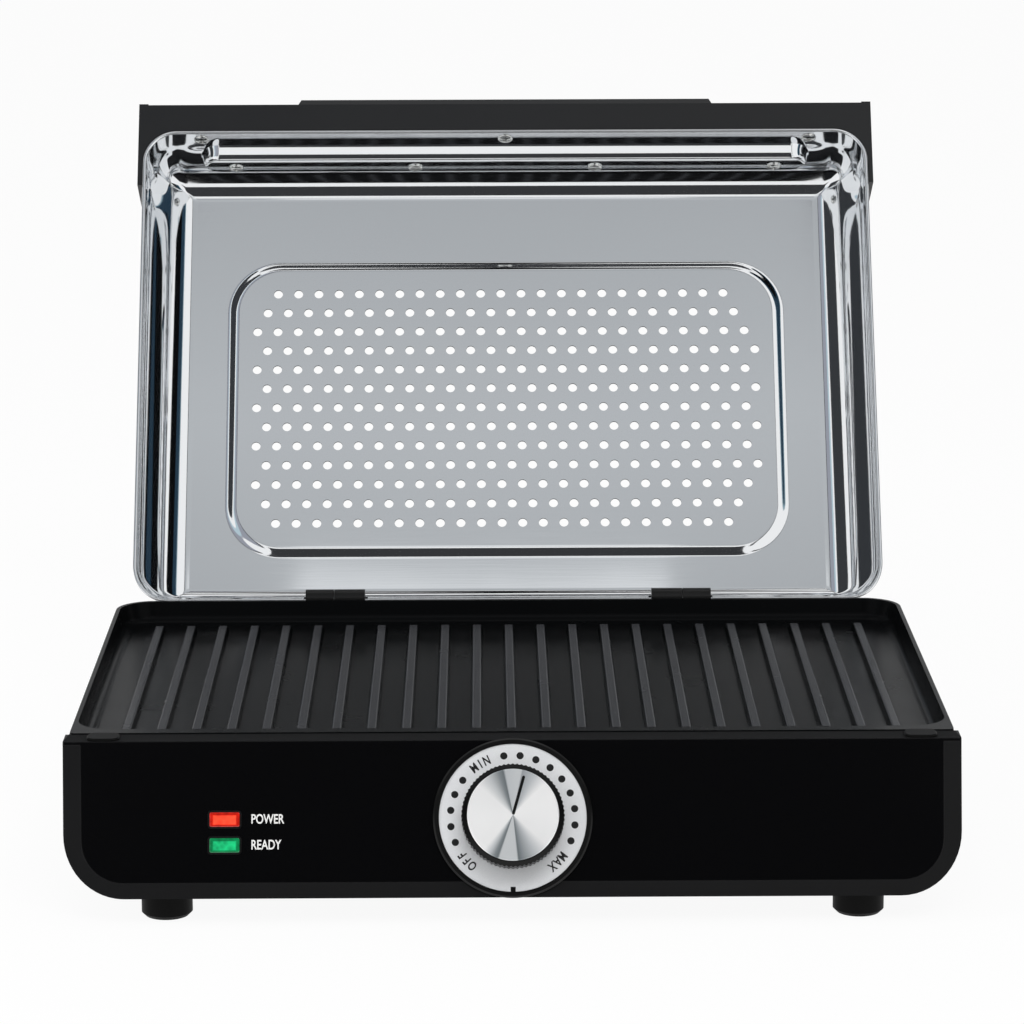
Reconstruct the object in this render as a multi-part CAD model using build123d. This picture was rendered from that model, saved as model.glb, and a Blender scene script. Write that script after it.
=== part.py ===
from build123d import *
from math import cos, radians, sin, sqrt, tan
import os

# A table-top plancha grill with its lid open: a moulded housing with a leaning
# glossy front, a ribbed cooking plate over a tubular heating element, a drawn
# and perforated steel lid on two hinges, a thermostat dial, and a drip tray
# that slides out at the back.
#
# While modelling, X points right, Y to the back and Z up.  The table is z = 0,
# the top front edge of the housing is y = 0 and the middle is x = 0.  At the
# end everything moves so that the origin is the middle of the underside.
# All lengths are millimetres and all angles are degrees.

# How far a cutting shape runs past the face that it cuts
overcut = 5.0

# Housing
housing_width = 410.0
housing_depth = 286.0
ledge_height = 80.5
foot_height = 13.2
front_tilt = 20.0
side_draft = 1.0
housing_wall = 2.5
housing_corner = 28.0
lip_drop = 4.2
shelf_reach = 4.3
shelf_thickness = 2.5

# Glossy front with its ledge on top
fascia_thickness = 2.0
fascia_side_band = 7.5
fascia_bottom_band = 6.6
fascia_corner = 20.0
fascia_edge_bevel = 0.5
ledge_depth = 13.4
ledge_thickness = 1.5
ledge_end_taper = 1.6

# Rubber pads that the lid handle comes down on
pad_length = 15.0
pad_width = 12.0
pad_corner = 4.0
pad_thickness = 2.2
pad_pocket = 1.0
pad_offset = 187.0
pad_edge = 0.6

# Feet
foot_diameter = 23.4
foot_edge = 1.8
foot_offset_x = 158.5
front_foot_y = -4.0
rear_foot_y = 258.0
foot_recess_diameter = 10.0
foot_recess_depth = 7.0
boss_wall = 2.4
foot_boss_height = 9.0
boss_cap = 2.0

# Cooking plate
plate_gap = 0.3
rim_overhang = 0.7
plate_thickness = 2.0
plate_floor_depth = 10.5
plate_floor_thickness = 2.0
front_band = 7.0
side_band = 2.0
well_slope = 3.0
well_corner = 17.0
well_fillet = 5.0
plate_front_corner = 2.5
plate_rear_corner = 22.0
rib_count = 23
rib_pitch = 16.38
rib_width = 6.2
rib_height = 3.6
rib_taper = 15.0
rib_round = 1.1
front_channel = 24.9
rear_channel = 24.5
drain_offset = 100.0
drain_length = 34.0
drain_width = 6.0
gusset_reach = 16.0
gusset_height = 26.0
gusset_width = 6.0
gusset_lip = 5.0
gusset_foot = 3.0
side_gusset_front_y = 85.0
side_gusset_rear_y = 203.0
rear_gusset_x = -165.0

# Heating element and the reflector below it
element_diameter = 6.5
element_plate_gap = 2.0
element_run_half = 140.0
element_run_pitch = 55.0
element_runs = 4
element_first_y = 70.0
element_end_x = 184.0
bead_diameter = 9.6
bead_length = 12.0
tab_length = 9.0
tab_width = 6.3
tab_thickness = 0.8
reflector_sheet = 0.8
reflector_half_width = 180.0
reflector_front = 50.0
reflector_rear = 262.0
reflector_height = 10.0
reflector_corner = 10.0
reflector_drop = 12.5
standoff_inset = 9.5
screw_tip_gap = 1.0
clip_width = 8.0
clip_thickness = 1.6
clip_clearance = 0.1
sheet_gap = 0.1
clip_x = 105.0
bulb_diameter = 6.0
bulb_length = 60.0
bulb_drop = 1.0
capillary_diameter = 1.6
capillary_hole = 5.0
capillary_bend = 4.0
capillary_offset = 14.0
capillary_drop = 8.0
capillary_run_in = 10.0

# Dial on the leaning front
dial_drop = 35.6
collar_radius = 36.3
collar_height = 2.5
collar_floor = 1.4
collar_edge = 0.8
scale_radius = 33.6
scale_inner_radius = 15.0
scale_thickness = 0.7
scale_notch = 2.3
knob_gap = 0.6
knob_radius = 23.4
knob_height = 18.2
knob_wall = 2.4
knob_top_bevel = 1.6
knurl_count = 72
knurl_depth = 0.55
hub_radius = 7.0
hub_clearance = 1.3
knob_cap_border = 0.4
cap_radius = 20.7
cap_recess = 0.8
cap_thickness = 1.6
cap_bevel = 0.4
pointer_width = 1.35
pointer_length = 18.2
pointer_depth = 0.4
pointer_proud = 0.05
pointer_angle = 16.0
spindle_diameter = 6.0
spindle_clearance = 0.08
spindle_flat = 1.0
spindle_reach = 6.7
bush_diameter = 9.0
nut_across_flats = 13.0
nut_height = 2.4
thermostat_width = 34.0
thermostat_height = 26.0
thermostat_depth = 20.0
thermostat_corner = 4.0
bracket_width = 46.0
bracket_height = 30.0
bracket_thickness = 1.2

# Indicator lamps
lamp_x = -131.0
upper_lamp_drop = 35.7
lower_lamp_drop = 47.4
lamp_width = 13.7
lamp_height = 6.6
lamp_corner = 0.8
lamp_proud = 0.6
lamp_depth = 9.0
lens_edge = 0.3
bezel_border = 0.9
bezel_proud = 0.35
bezel_depth = 3.0

# Hinges
hinge_setback = 3.8
hinge_drop = 0.5
knuckle_radius = 5.3
post_inner_x = 75.0
post_width = 16.0
knuckle_gap = 0.3
arm_width = 14.7
pin_diameter = 4.0
pin_clearance = 0.05
pin_end_margin = 1.0
post_plate_thickness = 3.0
post_plate_height = 26.0
post_screw_rise = 5.0
arm_height = 30.0
arm_thickness = 4.0
arm_bend_height = 12.0
rivet_recess = 0.2
lower_rivet_height = 13.5
upper_rivet_height = 24.0
notch_clearance = 1.3
hinge_screw_diameter = 4.0
hinge_screw_head = 7.0
hinge_screw_head_height = 1.8
lid_open_angle = 121.0

# Lid, one drawn sheet
lid_width = 394.5
lid_depth = 268.0
lid_rear_gap = 1.9
lid_sheet = 1.0
lid_height = 42.0
lid_wall_inset = 23.0
lid_corner = 18.5
lid_flat_corner = 1.5
rim_lift = 1.5
hem_width = 2.4
hem_height = 2.0
hem_proud = 0.6
panel_width = 304.0
panel_depth = 172.0
panel_corner = 28.0
panel_step = 2.0
panel_slope = 6.25
panel_from_hinge = 123.0
hole_diameter = 4.9
hole_sides = 8
hole_pitch = 11.08
hole_rows = 13
hole_columns = 25
channel_length = 333.0
channel_low = 14.0
channel_high = 34.0
channel_inset = 9.5

# Lid handle
handle_width = 400.0
handle_reach = 17.5
handle_wrap = 32.0
handle_bottom = 2.0
handle_top = 36.0
handle_wall = 3.0
handle_corner = 4.0
handle_edge = 5.0
handle_seat_clearance = 0.3
end_rib_width = 5.0
end_rib_proud = 0.6
grip_width = 227.0
grip_proud = 2.5
grip_bottom = 6.0
grip_top = 30.0
grip_end = 1.9
screw_diameter = 4.0
screw_head_diameter = 8.0
screw_head_height = 1.6
screw_head_edge = 0.8
screw_length = 11.0
flange_screw_offset = 166.0
flange_screw_height = 8.0
channel_screw_pitch = 98.7
channel_screw_count = 4
channel_screw_height = 27.0

# Drip tray and its guides
tray_half_width = 146.0
tray_front = 24.0
tray_sheet = 1.0
tray_height = 13.5
tray_corner = 8.0
tray_floor_gap = 1.5
tray_rim = 2.0
rail_thickness = 1.2
rail_lip = 6.0
rail_top_gap = 2.0
rail_start = 28.0
opening_headroom = 3.0
slide_gap = 0.3
pull_border = 6.0
pull_thickness = 3.0
pull_corner = 4.0
pull_floor_gap = 1.0
pull_lip_width = 106.0
pull_lip_depth = 16.0
pull_lip_thickness = 3.0
pull_lip_rise = 8.0
pull_lip_fall = 2.0
pull_lip_hook = 8.0
pull_tongue_width = 160.0
pull_tongue_rise = 3.0

# Wiring parts
gland_x = 165.0
gland_height = 52.0
gland_diameter = 13.0
gland_flange = 18.0
gland_bore = 7.4
gland_flange_thickness = 2.0
gland_nose_diameter = 11.0
gland_proud = 6.0
gland_inner_reach = 6.0
block_length = 36.0
block_width = 18.0
block_height = 14.0
block_x = 164.0
block_y = 190.0
block_corner = 1.5
wire_way_pitch = 10.6
wire_way_diameter = 4.4
wire_way_depth = 5.0
fuse_diameter = 4.2
fuse_length = 14.0
fuse_y = 120.0
wire_diameter = 2.4
thin_tube_sides = 6
wire_bend = 3.0
wire_rise = 6.0

# Worked out from the sizes above
seat_height = ledge_height - ledge_thickness
lip_height = ledge_height - lip_drop
floor_height = foot_height + housing_wall
plate_top = seat_height + plate_thickness
plate_half = housing_width / 2 - housing_wall + rim_overhang
plate_front = ledge_depth + plate_gap
plate_rear = housing_depth - housing_wall + rim_overhang
well_front = plate_front + front_band
well_rear = plate_rear - side_band
plate_floor = plate_top - plate_floor_depth
plate_underside = plate_floor - plate_floor_thickness
element_height = plate_underside - element_plate_gap - element_diameter / 2
reflector_floor = element_height - reflector_drop
hinge_y = housing_depth + hinge_setback
hinge_z = ledge_height - hinge_drop
arm_inner_x = post_inner_x + post_width + knuckle_gap
tray_bottom = floor_height + tray_floor_gap + slide_gap
tray_rear = housing_depth + slide_gap
opening_half = tray_half_width + rail_thickness + 2 * slide_gap
opening_top = tray_bottom + tray_height + opening_headroom
slope_length = (ledge_height - foot_height) / cos(radians(front_tilt))
front_wall = fascia_thickness + housing_wall
foot_boss_top = floor_height + foot_boss_height
thermostat_back = -front_wall - bracket_thickness - thermostat_depth
hub_base = collar_floor + nut_height + hub_clearance
lid_top = rim_lift + lid_height
post_screw_height = lip_height - post_plate_height + post_screw_rise
post_screw_seat = housing_depth + post_plate_thickness - hinge_screw_head_height
rivet_heights = (lower_rivet_height, upper_rivet_height)
channel_floor_y = hinge_y - lid_rear_gap - lid_depth + hem_proud + channel_inset

# The leaning front as a work plane: x to the right, y up the slope from the
# ledge's front edge, z out of the housing.
front = Plane(
    origin=(0, 0, ledge_height),
    x_dir=(1, 0, 0),
    z_dir=(0, -cos(radians(front_tilt)), sin(radians(front_tilt))),
)
dial = front * Pos(0, -dial_drop, 0)


def front_y(height, depth=0.0):
    """Y of the leaning front at a height, or of a layer that deep behind it."""
    lean = tan(radians(front_tilt))
    return -(ledge_height - height) * lean + depth / cos(radians(front_tilt))


def side_prism(points, half_width, middle=0.0):
    """Solid of a side-view outline of (y, z) points, both ways from a middle x."""
    outline = Plane.YZ * Polygon(*points, align=None)
    return Pos(middle, 0, 0) * extrude(outline, half_width, both=True)


def front_prism(outline, y_start, y_end):
    """Solid of a front-view outline drawn in (x, z), from one y to another."""
    placed = Pos(0, y_start, 0) * (Plane.XZ * outline)
    return extrude(placed, y_end - y_start, dir=(0, 1, 0))


def flat_prism(outline, z_start, z_end):
    """Solid of a plan-view outline drawn in (x, y), from one height to another."""
    return extrude(Pos(0, 0, z_start) * outline, z_end - z_start, dir=(0, 0, 1))


def block(x_range, y_range, z_range):
    """Box between two limits on each axis."""
    size = [high - low for low, high in (x_range, y_range, z_range)]
    middle = [(low + high) / 2 for low, high in (x_range, y_range, z_range)]
    return Pos(*middle) * Box(*size)


def rod(start, end, radius):
    """Round bar between two points."""
    axis = Vector(*end) - Vector(*start)
    return extrude(Plane(origin=start, z_dir=axis) * Circle(radius), axis.length)


def tube_along(points, radius, bend):
    """Thin bar along straight runs joined by bends, with few flats in place of a round."""
    path = FilletPolyline(*points, radius=bend)
    start = Vector(*points[0])
    heading = Vector(*points[1]) - start
    section = RegularPolygon(radius, thin_tube_sides)
    return sweep(Plane(origin=start, z_dir=heading) * section, path=path)


def mirrored(solid):
    """The same piece on the other side of the middle."""
    return mirror(solid, about=Plane.YZ)


def single(shape):
    """The one solid of a result that holds just one."""
    return shape.solids()[0]


# Housing, front and feet


def tub_outline(inset, low, high, corner):
    """Front view of the housing's section, smaller by an inset at both sides."""
    lean = tan(radians(side_draft))

    def half(height):
        return housing_width / 2 - inset - (ledge_height - height) * lean

    outline = Polygon(
        (-half(high), high), (-half(low), low), (half(low), low), (half(high), high),
        align=None,
    )
    return fillet(outline.vertices().sort_by(Axis.Y)[:2], corner)


def housing_outer_form():
    """Outside of the housing: its front view and its side view in one solid."""
    section = tub_outline(0, foot_height, ledge_height, housing_corner)
    side = [
        (front_y(foot_height), foot_height),
        (front_y(ledge_height), ledge_height),
        (ledge_depth, ledge_height),
        (ledge_depth, lip_height),
        (housing_depth, lip_height),
        (housing_depth, foot_height),
    ]
    form = front_prism(section, front_y(foot_height) - overcut, housing_depth)
    return form & side_prism(side, housing_width)


def housing_cavity():
    """Inside of the housing, open at the top behind the plate's front shelf."""
    above = plate_top + overcut
    section = tub_outline(housing_wall, floor_height, above, housing_corner - housing_wall)
    shelf_edge = ledge_depth + shelf_reach
    shelf_underside = seat_height - shelf_thickness
    side = [
        (front_y(floor_height, front_wall), floor_height),
        (front_y(shelf_underside, front_wall), shelf_underside),
        (shelf_edge, shelf_underside),
        (shelf_edge, above),
        (housing_depth - housing_wall, above),
        (housing_depth - housing_wall, floor_height),
    ]
    cavity = front_prism(section, front_y(foot_height), housing_depth)
    return cavity & side_prism(side, housing_width)


def fascia_blank():
    """Glossy front plate in its recess, in one piece with the ledge on top."""
    lean = tan(radians(side_draft))
    half_top = housing_width / 2 - fascia_side_band
    bottom = -(slope_length - fascia_bottom_band)
    half_bottom = half_top + bottom * lean
    outline = Polygon(
        (-half_top, 0), (-half_bottom, bottom), (half_bottom, bottom), (half_top, 0),
        align=None,
    )
    outline = fillet(outline.vertices().sort_by(Axis.Y)[:2], fascia_corner)
    plate = extrude(front * outline, -fascia_thickness)
    low_edges = plate.faces().sort_by(Axis((0, 0, 0), front.z_dir))[-1].edges()
    plate = chamfer(low_edges.sort_by(Axis.Z)[:-1], fascia_edge_bevel)
    half = housing_width / 2
    ledge = side_prism(
        [
            (front_y(seat_height), seat_height),
            (front_y(ledge_height), ledge_height),
            (ledge_depth, ledge_height),
            (ledge_depth, seat_height),
        ],
        half,
    )
    plan = Polygon(
        (-half, -overcut), (half, -overcut), (half, ledge_end_taper),
        (half - ledge_end_taper, ledge_depth), (-half + ledge_end_taper, ledge_depth),
        (-half, ledge_end_taper), align=None,
    )
    return plate + (ledge & flat_prism(plan, 0, ledge_height + overcut))


def lamp_drops():
    """Distances of the two lamps down the slope."""
    return (upper_lamp_drop, lower_lamp_drop)


def lamp_prism(drop, grow, low, high):
    """Rounded rectangle of a lamp, grown all round, between two layers."""
    outline = RectangleRounded(lamp_width + 2 * grow, lamp_height + 2 * grow, lamp_corner + grow)
    face = front * Pos(lamp_x, -drop, low) * outline
    return extrude(face, high - low)


def dial_disc(radius, low, high):
    """Round slab about the dial's axis between two distances from the front."""
    return extrude(dial * Pos(0, 0, low) * Circle(radius), high - low)


def pads():
    """Rubber pads that sit in two pockets of the ledge."""
    outline = RectangleRounded(pad_length, pad_width, pad_corner)
    low = ledge_height - pad_pocket
    pad = flat_prism(Pos(pad_offset, ledge_depth / 2, 0) * outline, low, low + pad_thickness)
    pad = chamfer(pad.faces().sort_by(Axis.Z)[-1].edges(), pad_edge)
    return [single(pad), single(mirrored(pad))]


def pad_pockets():
    """Room for the pads in the ledge."""
    outline = RectangleRounded(pad_length, pad_width, pad_corner)
    placed = Pos(pad_offset, ledge_depth / 2, 0) * outline
    pocket = flat_prism(placed, ledge_height - pad_pocket, ledge_height + overcut)
    return pocket + mirrored(pocket)


def foot_places():
    """Plan positions of the four feet with the words of their names."""
    for row, y in (("front", front_foot_y), ("rear", rear_foot_y)):
        for side, x in (("left", -foot_offset_x), ("right", foot_offset_x)):
            yield row + "_" + side, x, y


def foot(x, y):
    """Rubber foot: a round block with a recess below for its screw."""
    body = Cylinder(foot_diameter / 2, foot_height, align=(Align.CENTER, Align.CENTER, Align.MIN))
    body = chamfer(body.edges().sort_by(Axis.Z)[0], foot_edge)
    recess = Cylinder(
        foot_recess_diameter / 2, foot_recess_depth, align=(Align.CENTER, Align.CENTER, Align.MIN)
    )
    hole = Cylinder(screw_diameter / 2, foot_height, align=(Align.CENTER, Align.CENTER, Align.MIN))
    return Pos(x, y, 0) * (body - recess - hole)


def foot_screw(x, y):
    """Screw from the foot's recess up into the housing's boss."""
    seat = foot_recess_depth
    head = rod((x, y, seat - screw_head_height), (x, y, seat), screw_head_diameter / 2)
    shank = rod((x, y, seat), (x, y, foot_boss_top - boss_cap), screw_diameter / 2)
    return single(head + shank)


def standoff_places():
    """Plan positions of the posts that carry the reflector."""
    x = reflector_half_width - standoff_inset
    for y in (reflector_front + standoff_inset, reflector_rear - standoff_inset):
        yield -x, y
        yield x, y


def gussets():
    """Triangular seats on the side and rear walls that carry the plate."""
    inner_x = housing_width / 2 - housing_wall / 2
    inner_y = housing_depth - housing_wall / 2
    low = plate_underside - gusset_height
    reach = gusset_reach + housing_wall / 2
    side_outline = Polygon(
        (inner_x, plate_underside), (inner_x - reach, plate_underside),
        (inner_x - reach, plate_underside - gusset_lip), (inner_x - gusset_foot, low), align=None,
    )
    side_seats = []
    for y in (side_gusset_front_y, side_gusset_rear_y):
        seat = front_prism(side_outline, y - gusset_width / 2, y + gusset_width / 2)
        side_seats += [seat, mirrored(seat)]
    rear = [
        (inner_y, plate_underside), (inner_y - reach, plate_underside),
        (inner_y - reach, plate_underside - gusset_lip), (inner_y, low),
    ]
    rear_seats = [side_prism(rear, gusset_width / 2, x) for x in (rear_gusset_x, 0)]
    return side_seats + rear_seats


def rear_wall_hole(x, z, diameter):
    """Round cut through the rear wall."""
    inside = housing_depth - housing_wall - overcut
    return rod((x, inside, z), (x, housing_depth + overcut, z), diameter / 2)


def base_housing():
    """Moulded tub with its seats, screw posts and openings."""
    tub = housing_outer_form() - housing_cavity()
    shelf_half = housing_width / 2 - housing_wall
    shelf = block(
        (-shelf_half, shelf_half),
        (ledge_depth - shelf_thickness, ledge_depth + shelf_reach),
        (seat_height - shelf_thickness, seat_height),
    )
    tub = tub + shelf
    for seat in gussets():
        tub = tub + seat
    boss_radius = screw_diameter / 2 + boss_wall
    for name, x, y in foot_places():
        tub = tub + rod((x, y, foot_height + screw_tip_gap), (x, y, foot_boss_top), boss_radius)
    for x, y in standoff_places():
        tub = tub + rod((x, y, foot_height + screw_tip_gap), (x, y, reflector_floor), boss_radius)
    tub = tub - fascia_blank()
    for name, x, y in foot_places():
        tub = tub - rod((x, y, 0), (x, y, foot_boss_top - boss_cap), screw_diameter / 2)
    for x, y in standoff_places():
        screw_end = (x, y, reflector_floor - screw_length)
        tub = tub - rod(screw_end, (x, y, reflector_floor), screw_diameter / 2)
    for drop in lamp_drops():
        tub = tub - lamp_prism(drop, bezel_border / 2, -front_wall - overcut, overcut)
    tub = tub - dial_disc(bush_diameter / 2, -front_wall - overcut, overcut)
    opening = block(
        (-opening_half, opening_half),
        (housing_depth - housing_wall - overcut, housing_depth + overcut),
        (floor_height, opening_top),
    )
    tub = tub - opening
    tub = tub - rear_wall_hole(gland_x, gland_height, gland_diameter)
    for side in (-1, 1):
        low = side * (post_inner_x - slide_gap)
        high = side * (arm_inner_x + arm_width + slide_gap)
        relief = rod((low, hinge_y, hinge_z), (high, hinge_y, hinge_z), knuckle_radius + slide_gap)
        tub = tub - relief
        x = side * (post_inner_x + post_width / 2)
        tub = tub - rear_wall_hole(x, post_screw_height, hinge_screw_diameter)
    return single(tub)


def front_fascia():
    """Glossy front with its openings for the lamps, the dial and the pads."""
    fascia = fascia_blank()
    for drop in lamp_drops():
        fascia = fascia - lamp_prism(drop, bezel_border / 2, -front_wall - overcut, overcut)
    fascia = fascia - dial_disc(bush_diameter / 2, -front_wall - overcut, overcut)
    fascia = fascia - pad_pockets()
    return single(fascia)


def lamp_lens(drop):
    """Clear coloured lens with a bevelled edge."""
    lens = lamp_prism(drop, 0, -lamp_depth, lamp_proud)
    front_face = lens.faces().sort_by(Axis((0, 0, 0), front.z_dir))[-1]
    return single(chamfer(front_face.edges(), lens_edge))


def lamp_bezel(drop):
    """Dark frame that holds a lens in the front."""
    flange = lamp_prism(drop, bezel_border, 0, bezel_proud)
    sleeve = lamp_prism(drop, bezel_border / 2, -bezel_depth, 0)
    return single(flange + sleeve - lamp_prism(drop, 0, -lamp_depth, overcut))


# Dial, knob and thermostat


def dial_collar():
    """Black raised ring round the dial, with a floor that the scale lies on."""
    collar = dial_disc(collar_radius, 0, collar_height)
    top = collar.faces().sort_by(Axis((0, 0, 0), front.z_dir))[-1]
    collar = chamfer(top.edges(), collar_edge)
    collar = collar - dial_disc(scale_radius, collar_floor, collar_height + overcut)
    return single(collar - dial_disc(bush_diameter / 2, -overcut, collar_height + overcut))


def dial_scale_ring():
    """Metal scale ring with a small notch at the bottom."""
    ring = dial_disc(scale_radius, collar_floor, collar_floor + scale_thickness)
    ring = ring - dial_disc(scale_inner_radius, 0, collar_height)
    notch = dial * Pos(0, -scale_radius, 0) * Rectangle(scale_notch, 2 * scale_notch)
    return single(ring - extrude(notch, collar_height))


def thermostat_bracket():
    """Steel plate that holds the thermostat behind the front wall."""
    face = dial * Pos(0, 0, -front_wall - bracket_thickness) * RectangleRounded(
        bracket_width, bracket_height, thermostat_corner
    )
    plate = extrude(face, bracket_thickness)
    return single(plate - dial_disc(bush_diameter / 2, -front_wall - overcut, 0))


def thermostat_body():
    """Thermostat case with its threaded bush, bored for the spindle."""
    outline = RectangleRounded(thermostat_width, thermostat_height, thermostat_corner)
    case = extrude(dial * Pos(0, 0, thermostat_back) * outline, thermostat_depth)
    bush = dial_disc(bush_diameter / 2, thermostat_back + overcut, collar_floor + nut_height)
    bore = dial_disc(spindle_diameter / 2 + spindle_clearance, spindle_back() - slide_gap, hub_base)
    return single(case + bush - bore)


def spindle_back():
    """How far behind the front the spindle reaches into the thermostat."""
    return -front_wall - bracket_thickness - spindle_reach


def thermostat_nut():
    """Flat hexagon nut that clamps the front between the bush and the case."""
    hexagon = RegularPolygon(nut_across_flats / 2, 6, major_radius=False)
    nut = extrude(dial * Pos(0, 0, collar_floor) * hexagon, nut_height)
    return single(nut - dial_disc(bush_diameter / 2, 0, hub_base))


def knob_base():
    """Distance of the knob's lower edge from the front."""
    return collar_floor + scale_thickness + knob_gap


def knob_top():
    """Distance of the knob's upper edge from the front."""
    return knob_base() + knob_height


def spindle_front():
    """Distance of the spindle's end from the front, inside the knob's hub."""
    return knob_top() - cap_recess - knob_wall


def spindle_solid():
    """Round shaft with a flat where the hub holds it."""
    shaft = dial_disc(spindle_diameter / 2, spindle_back(), spindle_front())
    outline = Rectangle(spindle_diameter, spindle_diameter)
    flat = extrude(dial * Pos(0, spindle_diameter - spindle_flat, hub_base) * outline, knob_height)
    return single(shaft - flat)


def knob_skirt():
    """Knurled black knob with a hollow underside, a hub and a pocket for its cap."""
    rim = []
    for step in range(2 * knurl_count):
        angle = radians(step * 180 / knurl_count)
        radius = knob_radius - knurl_depth * (step % 2)
        rim.append((radius * cos(angle), radius * sin(angle)))
    foot_plane = dial * Pos(0, 0, knob_base())
    grip = extrude(foot_plane * Polygon(*rim, align=None), knob_height)
    bevel = Polygon(
        (0, 0), (knob_radius, 0), (knob_radius, knob_height - 2 * knob_top_bevel),
        (cap_radius + knob_cap_border, knob_height), (0, knob_height), align=None,
    )
    grip = grip & (foot_plane * revolve(Plane.XZ * bevel, Axis.Z))
    inner = knob_radius - knurl_depth - knob_wall
    pocket_floor = knob_top() - cap_recess
    hollow = dial_disc(inner, 0, pocket_floor - knob_wall)
    hub = dial_disc(hub_radius, hub_base, pocket_floor - knob_wall / 2)
    pocket = dial_disc(cap_radius, pocket_floor, knob_top() + overcut)
    return single(grip - hollow + hub - pocket - spindle_solid())


def pointer_bar(low, high):
    """Narrow bar from the middle of the knob towards its edge, along the pointer."""
    bar = SlotOverall(pointer_length, pointer_width, rotation=90)
    face = dial * Rot(0, 0, -pointer_angle) * Pos(0, pointer_length / 2, low) * bar
    return extrude(face, high - low)


def cap_top():
    """Distance of the knob cap's face from the front."""
    return knob_top() - cap_recess + cap_thickness


def knob_cap():
    """Spun metal disc on top of the knob, with a groove for the pointer."""
    cap = dial_disc(cap_radius, knob_top() - cap_recess, cap_top())
    top = cap.faces().sort_by(Axis((0, 0, 0), front.z_dir))[-1]
    cap = chamfer(top.edges(), cap_bevel)
    return single(cap - pointer_bar(cap_top() - pointer_depth, cap_top() + overcut))


def knob_pointer():
    """Black pointer line let into the cap."""
    return single(pointer_bar(cap_top() - pointer_depth, cap_top() + pointer_proud))


# Cooking plate


def well_outline(grow, corner):
    """Plan of the plate's well, grown by a distance all round."""
    middle = (well_front + well_rear) / 2
    width = 2 * (plate_half - side_band + grow)
    depth = well_rear - well_front + 2 * grow
    return Pos(0, middle, 0) * RectangleRounded(width, depth, corner)


def well_form(grow, low, high, slope, edge):
    """Tapered tub shape with a rounded bottom edge."""
    top = Pos(0, 0, high) * well_outline(grow, well_corner + grow)
    bottom = Pos(0, 0, low) * well_outline(grow - slope, well_corner + grow - slope)
    form = loft([bottom, top])
    return fillet(form.faces().sort_by(Axis.Z)[0].edges(), edge)


def plate_outline():
    """Plan of the plate's rim: nearly square in front, rounded at the back."""
    outline = Polygon(
        (-plate_half, plate_front), (plate_half, plate_front),
        (plate_half, plate_rear), (-plate_half, plate_rear), align=None,
    )
    outline = fillet(outline.vertices().sort_by(Axis.Y)[2:], plate_rear_corner)
    return fillet(outline.vertices().sort_by(Axis.Y)[:2], plate_front_corner)


def plate_rib():
    """One raised rib with sloping sides and ends and a rounded top."""
    start = well_front + front_channel
    end = well_rear - rear_channel
    base = Pos(0, (start + end) / 2, plate_floor) * Rectangle(rib_width, end - start)
    rib = extrude(base, rib_height, taper=rib_taper)
    return fillet(rib.faces().sort_by(Axis.Z)[-1].edges(), rib_round)


def grill_plate():
    """Coated plate: rim, sloping well, a row of ribs and two drain slots."""
    outer_slope = well_slope * (plate_floor_depth + plate_floor_thickness) / plate_floor_depth
    outer = well_form(
        side_band, plate_underside, plate_top, outer_slope, well_fillet + plate_floor_thickness
    )
    plate = outer + flat_prism(plate_outline(), plate_top - plate_thickness, plate_top)
    plate = plate - well_form(0, plate_floor, plate_top, well_slope, well_fillet)
    rib = plate_rib()
    for index in range(rib_count):
        plate = plate + Pos((index - (rib_count - 1) / 2) * rib_pitch, 0, 0) * rib
    channel_middle = well_front + well_slope + (front_channel - well_slope) / 2
    slot = flat_prism(
        Pos(drain_offset, channel_middle, 0) * SlotOverall(drain_length, drain_width),
        plate_underside - overcut, plate_floor + overcut,
    )
    return single(plate - slot - mirrored(slot))


# Heating parts


def element_path():
    """Middle line of the heating element: runs across joined by round bends."""
    bend = element_run_pitch / 2
    pieces = []
    y = element_first_y
    x = element_end_x
    for run in range(element_runs):
        last = run == element_runs - 1
        direction = -1 if run % 2 == 0 else 1
        end = element_end_x if last else direction * element_run_half
        pieces.append(Line((x, y), (end, y)))
        if not last:
            top = (end + direction * bend, y + bend)
            pieces.append(ThreePointArc((end, y), top, (end, y + 2 * bend)))
        x = end
        y += element_run_pitch
    return Wire(Curve(pieces).edges())


def heating_element():
    """Tubular element bent in four runs below the plate."""
    path = Pos(0, 0, element_height) * element_path()
    start = Plane(origin=(element_end_x, element_first_y, element_height), z_dir=(-1, 0, 0))
    return single(sweep(start * Circle(element_diameter / 2), path=path))


def element_ends():
    """Y positions where the element's two ends come out."""
    return (element_first_y, element_first_y + (element_runs - 1) * element_run_pitch)


def element_beads():
    """Ceramic beads round the element's ends."""
    beads = []
    for y in element_ends():
        start = (element_end_x - bead_length, y, element_height)
        end = (element_end_x, y, element_height)
        outer = rod(start, end, bead_diameter / 2)
        beads.append(single(outer - rod(start, end, element_diameter / 2)))
    return beads


def element_tabs():
    """Flat steel connector tabs on the element's ends."""
    tabs = []
    for y in element_ends():
        tabs.append(single(block(
            (element_end_x, element_end_x + tab_length),
            (y - tab_width / 2, y + tab_width / 2),
            (element_height - tab_thickness / 2, element_height + tab_thickness / 2),
        )))
    return tabs


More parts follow.
